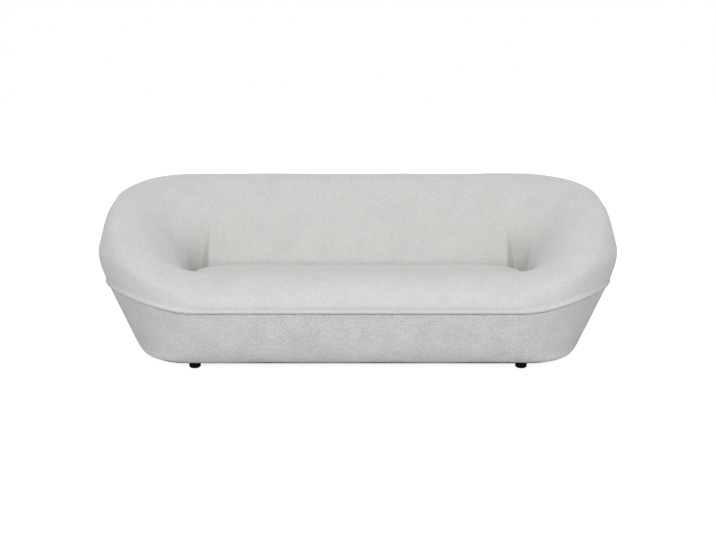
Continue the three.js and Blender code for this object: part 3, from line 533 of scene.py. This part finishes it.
WRAP_ROWS = [ROW["piping"] + 0.08, *np.linspace(4.2, 6.4, 12)]
BASE_PAD_ROWS = [*np.linspace(1.5, 3.6, 10), 3.9]
WRAP_SIDE = 0.99
WRAP_MIDDLE = 1.01


def pad_grid(rows, first, last, depth):
    """Rings at a depth under the skin, between two stations of the right half or all round."""
    count = int(round((last - first) / PAD_STEP))
    u = np.linspace(first, last, count + 1)
    rings = np.array([skin_points(u, v) for v in rows])
    along = np.gradient(rings, axis=1)
    up = np.gradient(rings, axis=0)
    out = np.cross(along, up)
    out /= np.linalg.norm(out, axis=-1, keepdims=True)
    return rings - out * depth


def thin_pad(name, rows, first, last, inner_depth):
    """A thin pad between two stations of the right half."""
    grids = [pad_grid(rows, first, last, depth) for depth in (PAD_OUTER, inner_depth)]
    return shell(name, *grids, closed=False)


def mirrored(piece, name):
    """The same piece on the other side."""
    return mesh_object(name, [v.co * Vector((-1, 1, 1)) for v in piece.data.vertices],
                       [tuple(p.vertices)[::-1] for p in piece.data.polygons])


def across(name, rows, first, last, inner_depth):
    """A thin pad over the middle of the front or back, from both halves."""
    halves = [pad_grid(rows, first, last, depth) for depth in (PAD_OUTER, inner_depth)]
    if first > 0:
        joined = [np.concatenate([half, half[:, -2::-1] * (-1, 1, 1)], axis=1) for half in halves]
    else:
        joined = [np.concatenate([half[:, :0:-1] * (-1, 1, 1), half], axis=1) for half in halves]
    return shell(name, *joined, closed=False)


def round_pad(name, rows, inner_depth):
    """A thin pad that closes on itself all round."""
    halves = [pad_grid(rows, -2, 2, depth) for depth in (PAD_OUTER, inner_depth)]
    joined = [np.array([whole(ring) for ring in half]) for half in halves]
    return shell(name, *joined)


def kept_inside(edit, skin, depth):
    """Moves the points that lie too close inside a closed skin to a depth, or to more near a tuck."""
    tree = BVHTree.FromPolygons([v.co for v in skin.vertices], [tuple(p.vertices) for p in skin.polygons])
    for vertex in edit.verts:
        nearest, normal, _, _ = tree.find_nearest(vertex.co)
        point = Vector((abs(vertex.co.x), vertex.co.y, vertex.co.z))
        away = min((point - place).length for place in TUCK_PLACES)
        deep = depth + TUCK_ROOM * math.exp(-(away / TUCK_REACH) ** 2)
        if (vertex.co - nearest).dot(normal) > -deep:
            vertex.co = nearest - normal * deep


def foam_block(node, cover):
    """A block of foam with softened edges, remeshed from its solid and kept just inside it and the cover."""
    source = frame["nodes"][node].data
    piece = bpy.data.objects.new(node + "_pad", source.copy())
    bpy.context.scene.collection.objects.link(piece)
    remesh = piece.modifiers.new("remesh", "REMESH")
    remesh.mode = "VOXEL"
    remesh.voxel_size = PAD_VOXEL
    settled = bpy.data.meshes.new_from_object(piece.evaluated_get(bpy.context.evaluated_depsgraph_get()))
    piece.modifiers.clear()
    piece.data = settled
    edit = bmesh.new()
    edit.from_mesh(settled)
    for _ in range(2):
        bmesh.ops.smooth_vert(edit, verts=edit.verts, factor=0.5,
                              use_axis_x=True, use_axis_y=True, use_axis_z=True)
    kept_inside(edit, source, PAD_INSIDE)
    kept_inside(edit, cover, COVER + PAD_INSIDE)
    edit.to_mesh(settled)
    edit.free()
    settled.shade_smooth()
    return piece


# Webbing: straps woven over and under one another

STRAP_WIDE = 60 * MM
STRAP_THICK = 0.9 * MM
STRAP_LIFT = 0.5 * MM
STRAP_STEPS = 6
SEAT_STRAPS = (8, 4)
BACK_STRAPS = (6, 4)


def strap(middle, start, end, crossings, over, along_x):
    """Vertices and faces of one strap, which passes over and under the straps that it crosses."""
    places = np.linspace(start, end, STRAP_STEPS * (len(crossings) - 1) + 1)
    wave = np.interp(places, crossings, [over * (-1) ** i for i in range(len(crossings))])
    height = STRAP_LIFT * np.sin(wave * math.pi / 2)
    vertices = []
    for place, z in zip(places, height):
        for side, level in ((-1, -1), (1, -1), (1, 1), (-1, 1)):
            cross = middle + side * STRAP_WIDE / 2
            x, y = (place, cross) if along_x else (cross, place)
            vertices.append((x, y, z + level * STRAP_THICK / 2))
    faces = [(3, 2, 1, 0) if along_x else (0, 1, 2, 3)]
    for k in range(len(places) - 1):
        for i in range(4):
            quad = (4 * k + i, 4 * k + (i + 1) % 4, 4 * k + 4 + (i + 1) % 4, 4 * k + 4 + i)
            faces.append(quad if along_x else quad[::-1])
    last = 4 * (len(places) - 1)
    faces.append((last, last + 1, last + 2, last + 3) if along_x else (last + 3, last + 2, last + 1, last))
    return vertices, faces


def webbing(name, across_places, along_places, place):
    """A lattice of straps that run along X and Y, turned into its place by a function of a point."""
    vertices, faces = [], []
    half = STRAP_WIDE / 2
    runs = [(y, across_places[0] - half, across_places[-1] + half, across_places, (-1) ** i, True)
            for i, y in enumerate(along_places)]
    runs += [(x, along_places[0] - half, along_places[-1] + half, along_places, -(-1) ** i, False)
             for i, x in enumerate(across_places)]
    for run in runs:
        points, loops = strap(*run)
        faces += [tuple(i + len(vertices) for i in loop) for loop in loops]
        vertices += points
    return mesh_object(name, [place(Vector(p)) for p in vertices], faces, smooth=False)


def seat_webbing():
    low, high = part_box("seat_webbing")
    half = STRAP_WIDE / 2
    level = (low.z + high.z) / 2
    return webbing("seat_straps", np.linspace(low.x + half, high.x - half, SEAT_STRAPS[0]),
                   np.linspace(low.y + half, high.y - half, SEAT_STRAPS[1]),
                   lambda p: p + Vector((0, 0, level)))


def back_webbing():
    low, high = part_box("back_webbing")
    half = STRAP_WIDE / 2
    rise = Vector((0, high.y - low.y, high.z - low.z))
    out = Vector((0, rise.z, -rise.y)).normalized()
    foot = Vector((0, low.y, low.z)) - out * STRAP_THICK
    up = rise.normalized()

    def place(p):
        return foot + Vector((p.x, 0, 0)) + up * p.y - out * p.z

    return webbing("back_straps", np.linspace(low.x + half, high.x - half, BACK_STRAPS[0]),
                   np.linspace(half, rise.length - half, BACK_STRAPS[1]), place)


# Dust cloth: one stretched sheet under the base, with a hole for each foot

FOOT_NAMES = ["front_left", "front_right", "rear_left", "rear_right"]
CLOTH_STEP = 30 * MM
CLOTH_SAG = 5 * MM
CLOTH_POWER = 2.3
CLOTH_FILL = 0.9
OUTLINE_SKIP = 4
FOOT_HOLE = 26 * MM
HOLE_SIDES = 24
HOLE_ROOM = 1.3
HOLE_CUT = 0.99
HOLE_FLAT = 200 * MM


def foot_places():
    boxes = [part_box(f"{place}_foot") for place in FOOT_NAMES]
    return [(low + high) / 2 for low, high in boxes]


def dust_cloth():
    """The sheet, its flat width and length, and its flat area."""
    low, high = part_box("dust_cloth")
    ring = whole(skin_points(stations(0), 0))[::OUTLINE_SKIP]
    width = high.x / ring[:, 0].max()
    length = high.y / ring[:, 1].max()
    outline = [Vector((x * width, y * length)) for x, y, _ in ring]
    holes = [Vector((p.x, p.y)) for p in foot_places()]
    points, edges = list(outline), [(i, (i + 1) % len(outline)) for i in range(len(outline))]
    for hole in holes:
        first = len(points)
        for k in range(HOLE_SIDES):
            turn = 2 * math.pi * k / HOLE_SIDES
            points.append(hole + FOOT_HOLE * Vector((math.cos(turn), math.sin(turn))))
            edges.append((first + k, first + (k + 1) % HOLE_SIDES))
    for x in np.arange(low.x, high.x, CLOTH_STEP):
        for y in np.arange(low.y, high.y, CLOTH_STEP):
            spot = Vector((x, y))
            inside = abs(x / high.x) ** CLOTH_POWER + abs(y / high.y) ** CLOTH_POWER < CLOTH_FILL
            if inside and min((spot - hole).length for hole in holes) > HOLE_ROOM * FOOT_HOLE:
                points.append(spot)
    flat, _, faces, _, _, _ = delaunay_2d_cdt(points, edges, [], 0, 1e-6)
    kept = []
    for face in faces:
        middle = sum((flat[i] for i in face), Vector((0, 0))) / 3
        if min((middle - hole).length for hole in holes) > FOOT_HOLE * HOLE_CUT:
            kept.append(face)
    top = (low.z + high.z) / 2
    sheet = []
    for p in flat:
        share = max(0, 1 - abs(p.x / high.x) ** CLOTH_POWER - abs(p.y / high.y) ** CLOTH_POWER)
        near = min(1, min((p - hole).length for hole in holes) / HOLE_FLAT)
        sheet.append((p.x, p.y, top - CLOTH_SAG * min(1, 2 * share) * near))
    piece = mesh_object("dust_cloth_sheet", sheet, kept)
    area = sum(polygon.area for polygon in piece.data.polygons)
    return piece, (high.x - low.x, high.y - low.y), area


# Feet

FOOT_SIDES = 64
FOOT_ROUND = 3.5 * MM
FOOT_CHAMFER = 1 * MM
ROUND_STEPS = 8


def foot(name, low, high):
    """A short round stub with a rounded lower edge and a small chamfer at the top."""
    middle = (low + high) / 2
    radius = (high.x - low.x) / 2
    profile = [(0, low.z), (radius - FOOT_ROUND, low.z)]
    for k in range(1, ROUND_STEPS + 1):
        turn = k / ROUND_STEPS * math.pi / 2
        out = radius - FOOT_ROUND * (1 - math.sin(turn))
        profile.append((out, low.z + FOOT_ROUND * (1 - math.cos(turn))))
    profile += [(radius, high.z - FOOT_CHAMFER), (radius - FOOT_CHAMFER, high.z), (0, high.z)]
    vertices = []
    for r, z in profile:
        for k in range(FOOT_SIDES):
            turn = 2 * math.pi * k / FOOT_SIDES
            vertices.append((middle.x + r * math.cos(turn), middle.y + r * math.sin(turn), z))
    piece = mesh_object(name, vertices, grid_faces(len(profile), FOOT_SIDES, True))
    weld(piece)
    return piece


# Materials: scales are in cells or waves per metre

LOOP_SCALE = 250.0
FIBRE_SCALE = 1100
BLOTCH_SCALE = 9
WAVER_SCALE = 210.0
WAVER = 3.5 * MM
FOAM_SCALE = 520.0
PLY = 3.6 * MM
RIB = 2.2 * MM


class Look:
    """A node material round one main shader."""

    def __init__(self, name, constants):
        self.material = bpy.data.materials.new(name)
        self.material.use_nodes = True
        self.tree = self.material.node_tree
        self.shader = self.tree.nodes["Principled BSDF"]
        for socket, value in constants.items():
            self.shader.inputs[socket].default_value = value
        self.place = self.node("ShaderNodeTexCoord").outputs["Object"]

    def node(self, kind, inputs=None, **settings):
        made = self.tree.nodes.new(kind)
        for key, value in settings.items():
            setattr(made, key, value)
        for key, value in (inputs or {}).items():
            if isinstance(value, bpy.types.NodeSocket):
                self.tree.links.new(value, made.inputs[key])
            else:
                made.inputs[key].default_value = value
        return made

    def noise(self, scale, detail=2, stretch=(1, 1, 1), roughness=0.5, place=None):
        at = self.node("ShaderNodeMapping", {"Vector": place or self.place, "Scale": stretch}).outputs[0]
        inputs = {"Vector": at, "Scale": scale, "Detail": detail, "Roughness": roughness}
        return self.node("ShaderNodeTexNoise", inputs).outputs["Fac"]

    def math(self, operation, a, b=0.0):
        return self.node("ShaderNodeMath", {0: a, 1: b}, operation=operation).outputs[0]

    def total(self, *weighted):
        """Sum of (share, value) pairs."""
        parts = [self.math("MULTIPLY", value, share) for share, value in weighted]
        made = parts[0]
        for part in parts[1:]:
            made = self.math("ADD", made, part)
        return made

    def ramp(self, value, *stops):
        made = self.node("ShaderNodeValToRGB", {"Fac": value})
        ramp = made.color_ramp
        while len(ramp.elements) < len(stops):
            ramp.elements.new(0.5)
        for element, (position, color) in zip(ramp.elements, stops):
            element.position = position
            element.color = (*color, 1)
        return made.outputs["Color"]

    def link(self, output, socket):
        self.tree.links.new(output, self.shader.inputs[socket])

    def bump(self, height, distance, strength=1.0):
        made = self.node("ShaderNodeBump", {"Height": height, "Distance": distance, "Strength": strength})
        self.link(made.outputs[0], "Normal")


def grey(level, warm=0.0):
    """A linear colour from an sRGB level of 0 to 255, a little warmer where asked."""
    linear = ((level / 255 + 0.055) / 1.055) ** 2.4
    return (linear * (1 + warm / 2), linear, linear * (1 - warm))


def boucle(name, nub_scale, stretch, spread, relief, painted_light=0):
    """Looped cream-grey wool: small loops with fibres on them, in nubs that run with the weft."""
    look = Look(name, {"Sheen Weight": 0.25, "Sheen Roughness": 0.6, "Specular IOR Level": 0.15})
    noise = look.node("ShaderNodeTexNoise", {"Vector": look.place, "Scale": WAVER_SCALE, "Detail": 1.0})
    waver = noise.outputs["Color"]
    shift = look.node("ShaderNodeVectorMath", {0: waver, "Scale": WAVER}, operation="SCALE").outputs[0]
    place = look.node("ShaderNodeVectorMath", {0: look.place, 1: shift}).outputs[0]
    cells = look.node("ShaderNodeTexVoronoi", {"Vector": place, "Scale": LOOP_SCALE, "Smoothness": 0.7},
                      feature="SMOOTH_F1")
    loops = look.math("SUBTRACT", 1.0, cells.outputs["Distance"])
    nubs = look.noise(nub_scale, 3, stretch, 0.6)
    fibres = look.noise(FIBRE_SCALE, 2)
    height = look.total((0.45, loops), (0.4, nubs), (0.15, fibres))
    look.bump(height, relief)
    tone = look.total((0.35, loops), (0.45, nubs), (0.2, look.noise(BLOTCH_SCALE, 3)))
    # painted_light raises all three levels: painted light wherever it is not 0
    levels = [grey(level + painted_light, warm) for level, warm in ((188, 0.022), (203, 0.02), (214, 0.018))]
    shades = zip((0.5 - spread, 0.5, 0.5 + spread), levels)
    look.link(look.ramp(tone, *shades), "Base Color")
    look.link(look.math("ADD", look.math("MULTIPLY", loops, 0.12), 0.84), "Roughness")
    return look.material


def foam(name, level):
    look = Look(name, {"Specular IOR Level": 0.2})
    cells = look.node("ShaderNodeTexVoronoi", {"Vector": look.place, "Scale": FOAM_SCALE}).outputs["Distance"]
    soft = look.noise(14, 3)
    look.bump(look.total((0.7, cells), (0.3, look.noise(160, 2))), 1.2 * MM)
    cream = (0.80 * level, 0.74 * level, 0.58 * level)
    look.link(look.ramp(soft, (0.3, cream), (0.7, tuple(1.08 * c for c in cream))), "Base Color")
    look.link(look.math("ADD", look.math("MULTIPLY", cells, 0.15), 0.8), "Roughness")
    return look.material


def plywood(name, grain, layers):
    """Birch plywood: grain along one axis, and the thin layers that its edges show across another."""
    look = Look(name, {"Specular IOR Level": 0.35})
    streaks = look.noise(40, 5, grain, 0.65)
    tone = look.ramp(streaks, (0.3, (0.42, 0.27, 0.14)), (0.55, (0.60, 0.43, 0.26)),
                     (0.8, (0.68, 0.52, 0.34)))
    if layers is None:
        look.link(tone, "Base Color")
    else:
        axis = look.node("ShaderNodeSeparateXYZ", {0: look.place}).outputs[layers]
        wave = look.math("SINE", look.math("MULTIPLY", axis, 2 * math.pi / PLY))
        share = look.math("MULTIPLY", look.math("ADD", wave, 1.0), 0.12)
        bands = look.node("ShaderNodeMix", {0: share, 6: tone, 7: (0.30, 0.18, 0.09, 1)}, data_type="RGBA")
        look.link(bands.outputs[2], "Base Color")
    look.bump(look.total((0.8, streaks), (0.2, look.noise(500, 2))), 0.25 * MM)
    look.link(look.math("ADD", look.math("MULTIPLY", streaks, 0.2), 0.55), "Roughness")
    return look.material


def elastic(name):
    look = Look(name, {"Specular IOR Level": 0.3})
    axes = look.node("ShaderNodeSeparateXYZ", {0: look.place}).outputs
    waves = [look.math("SINE", look.math("MULTIPLY", axis, 2 * math.pi / RIB)) for axis in axes[:2]]
    ribs = look.total((0.5, waves[0]), (0.5, waves[1]))
    yarn = look.noise(700, 2)
    look.bump(look.total((0.5, ribs), (0.5, yarn)), 0.35 * MM)
    look.link(look.ramp(yarn, (0.3, (0.018, 0.018, 0.020)), (0.7, (0.045, 0.045, 0.048))), "Base Color")
    look.link(look.math("ADD", look.math("MULTIPLY", yarn, 0.2), 0.7), "Roughness")
    return look.material


def lining(name):
    look = Look(name, {"Specular IOR Level": 0.25, "Sheen Weight": 0.1})
    fibres = look.noise(420, 4, (1, 1, 1), 0.7)
    dots = look.node("ShaderNodeTexVoronoi", {"Vector": look.place, "Scale": 380.0}).outputs["Distance"]
    look.bump(look.total((0.6, fibres), (0.4, dots)), 0.3 * MM)
    look.link(look.ramp(fibres, (0.3, (0.012, 0.012, 0.013)), (0.75, (0.035, 0.035, 0.037))), "Base Color")
    look.link(look.math("ADD", look.math("MULTIPLY", fibres, 0.25), 0.7), "Roughness")
    return look.material


def plastic(name, level, roughness, gloss):
    look = Look(name, {"Specular IOR Level": gloss})
    pores = look.noise(900, 3)
    wear = look.noise(60, 4)
    look.bump(pores, 0.12 * MM, 0.6)
    worn = 1.5 * level
    look.link(look.ramp(wear, (0.3, (level, level, level)), (0.8, (worn, worn, worn))), "Base Color")
    look.link(look.math("ADD", look.math("MULTIPLY", wear, 0.15), roughness), "Roughness")
    return look.material


def steel(name):
    look = Look(name, {"Metallic": 1.0})
    marks = look.noise(240, 4, (1, 1, 0.1), 0.7)
    look.bump(marks, 0.05 * MM)
    look.link(look.ramp(marks, (0.3, (0.42, 0.44, 0.46)), (0.7, (0.62, 0.63, 0.65))), "Base Color")
    look.link(look.math("ADD", look.math("MULTIPLY", marks, 0.2), 0.25), "Roughness")
    return look.material


# Putting the pieces on the frame

def dress(piece, look, slot, *nodes):
    """Gives a piece its material, hangs it on the root body and hides the CAD nodes that it stands for. The
    slot is not used.
    """
    piece.data.materials.clear()
    piece.data.materials.append(look)
    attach(piece, "root")
    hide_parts(*nodes)
    return piece


cover_look = boucle("boucle_upper", 80, (1, 1, 1.4), 0.22, 2.2 * MM)
# The base's fabric is raised 3 levels: painted light for the light from above the front
base_look = boucle("boucle_base_with_painted_light", 105, (0.65, 0.65, 1.6), 0.1, 4 * MM, painted_light=3)
foam_look = foam("foam_firm", 1.0)
wrap_look = foam("foam_soft", 1.1)

upper, upper_skin = upper_cover()
dress(upper, cover_look, "boucle", "upper_cover")
dress(base_cover(), base_look, "boucle", "base_cover")
dress(welt(), boucle("boucle_welt", 85, (1, 1, 1), 0.25, 2.2 * MM), "welt", "piping")
# The dark lining cloth: real on the dust cloth, and painted shade on the strip in the slot under the welt
lining_and_shade_look = lining("lining_cloth_and_painted_shade")
# A dark strip of lining cloth in the slot under the welt: painted shade
dress(painted_shade_tape(), lining_and_shade_look, "lining")

right_wrap = thin_pad("right_wrap_pad", WRAP_ROWS, -WRAP_SIDE, WRAP_SIDE, WRAP_INNER)
wraps = {
    "right_wrap_foam": right_wrap,
    "left_wrap_foam": mirrored(right_wrap, "left_wrap_pad"),
    "front_wrap_foam": across("front_wrap_pad", WRAP_ROWS, -2, -WRAP_MIDDLE, WRAP_INNER),
    "back_wrap_foam": across("back_wrap_pad", WRAP_ROWS, WRAP_MIDDLE, 2, WRAP_INNER),
}
for node, pad in wraps.items():
    dress(pad, wrap_look, "foam", node)
dress(round_pad("base_pad", BASE_PAD_ROWS, BASE_INNER), wrap_look, "foam", "base_foam")
for node in ("seat_foam", "back_foam", "right_arm_foam", "left_arm_foam"):
    dress(foam_block(node, upper_skin), foam_look, "foam", node)
bpy.data.meshes.remove(upper_skin)

elastic_look = elastic("elastic_webbing")
dress(seat_webbing(), elastic_look, "webbing", "seat_webbing")
dress(back_webbing(), elastic_look, "webbing", "back_webbing")

cloth_sheet, cloth_size, cloth_area = dust_cloth()
dress(cloth_sheet, lining_and_shade_look, "lining", "dust_cloth")

foot_look = plastic("black_plastic", 0.002, 0.6, 0.05)
glide_look = plastic("grey_plastic", 0.06, 0.5, 0.45)
steel_look = steel("zinc_steel")
for place in FOOT_NAMES:
    dress(foot(f"{place}_stub", *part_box(f"{place}_foot")), foot_look, "foot", f"{place}_foot")
    frame["nodes"][f"{place}_glide"].data.materials[0] = glide_look
    frame["nodes"][f"{place}_bolt"].data.materials[0] = steel_look
    frame["nodes"][f"{place}_tee_nut"].data.materials[0] = steel_look

bent_look = plywood("plywood_bent", (0.12, 0.12, 1), None)
flat_look = plywood("plywood_flat", (0.05, 1, 1), 2)
rib_look = plywood("plywood_rib", (1, 0.05, 1), 0)
for name, node in frame["nodes"].items():
    if name in ("base_panel", "deck_panel"):
        node.data.materials[0] = flat_look
    elif "_rib_" in name:
        node.data.materials[0] = rib_look
    elif name.endswith(("rail", "fascia", "facing")):
        node.data.materials[0] = bent_look


# Floor, light and camera

FLOOR_REACH = 40.0
FLOOR_COLOR = (0.45, 0.45, 0.45, 1)
FLOOR_GLOW = 0.88
WORLD_LIGHT = 0.79
SOFTBOX_WIDE = 4.0
SOFTBOX_HIGH = 1.5
SOFTBOX_PLACE = Vector((0, -4.0, 1.4))
SOFTBOX_AIM = Vector((0, 0, 0.4))
SOFTBOX_WATTS = 72.0


def seen_directly(look):
    """1 for rays that show the background: from the camera, in a reflection or through glass."""
    rays = look.node("ShaderNodeLightPath").outputs
    direct = look.math("MAXIMUM", rays["Is Camera Ray"], rays["Is Glossy Ray"])
    return look.math("MAXIMUM", direct, rays["Is Transmission Ray"])


def floor():
    look = Look("floor_white", {"Base Color": FLOOR_COLOR, "Roughness": 0.9, "Emission Color": (1, 1, 1, 1)})
    look.link(look.math("MULTIPLY", seen_directly(look), FLOOR_GLOW), "Emission Strength")
    corners = [(-FLOOR_REACH, -FLOOR_REACH, 0), (FLOOR_REACH, -FLOOR_REACH, 0), (FLOOR_REACH, FLOOR_REACH, 0),
               (-FLOOR_REACH, FLOOR_REACH, 0)]
    piece = mesh_object("floor", corners, [(0, 1, 2, 3)], smooth=False)
    piece.data.materials.append(look.material)


def world():
    made = bpy.data.worlds.new("studio")
    made.use_nodes = True
    tree = made.node_tree
    shade = tree.nodes["Background"]
    rays = tree.nodes.new("ShaderNodeLightPath").outputs
    level = tree.nodes.new("ShaderNodeMapRange")
    direct = rays["Is Camera Ray"]
    for other in ("Is Glossy Ray", "Is Transmission Ray"):
        either = tree.nodes.new("ShaderNodeMath")
        either.operation = "MAXIMUM"
        tree.links.new(direct, either.inputs[0])
        tree.links.new(rays[other], either.inputs[1])
        direct = either.outputs[0]
    tree.links.new(direct, level.inputs["Value"])
    level.inputs["To Min"].default_value = WORLD_LIGHT
    level.inputs["To Max"].default_value = 1.0
    tree.links.new(level.outputs["Result"], shade.inputs["Strength"])
    shade.inputs["Color"].default_value = (1, 1, 1, 1)
    bpy.context.scene.world = made


def softbox():
    light = bpy.data.lights.new("softbox", "AREA")
    light.shape = "RECTANGLE"
    light.size = SOFTBOX_WIDE
    light.size_y = SOFTBOX_HIGH
    light.energy = SOFTBOX_WATTS
    lamp = bpy.data.objects.new("softbox", light)
    lamp.location = SOFTBOX_PLACE
    lamp.rotation_euler = (SOFTBOX_AIM - SOFTBOX_PLACE).to_track_quat("-Z", "Y").to_euler()
    lamp.visible_camera = False
    bpy.context.scene.collection.objects.link(lamp)


CAMERA_BACK = 4.2
CAMERA_HIGH = 1.23
CAMERA_PITCH = 11.63
CAMERA_LENS = 47.15


def camera():
    made = bpy.data.objects.new("camera", bpy.data.cameras.new("camera"))
    made.data.lens = CAMERA_LENS
    made.location = (0, -CAMERA_BACK, CAMERA_HIGH)
    made.rotation_euler = (math.radians(90 - CAMERA_PITCH), 0, 0)
    bpy.context.scene.collection.objects.link(made)
    bpy.context.scene.camera = made


floor()
world()
softbox()
camera()
bpy.context.scene.view_settings.view_transform = "Standard"
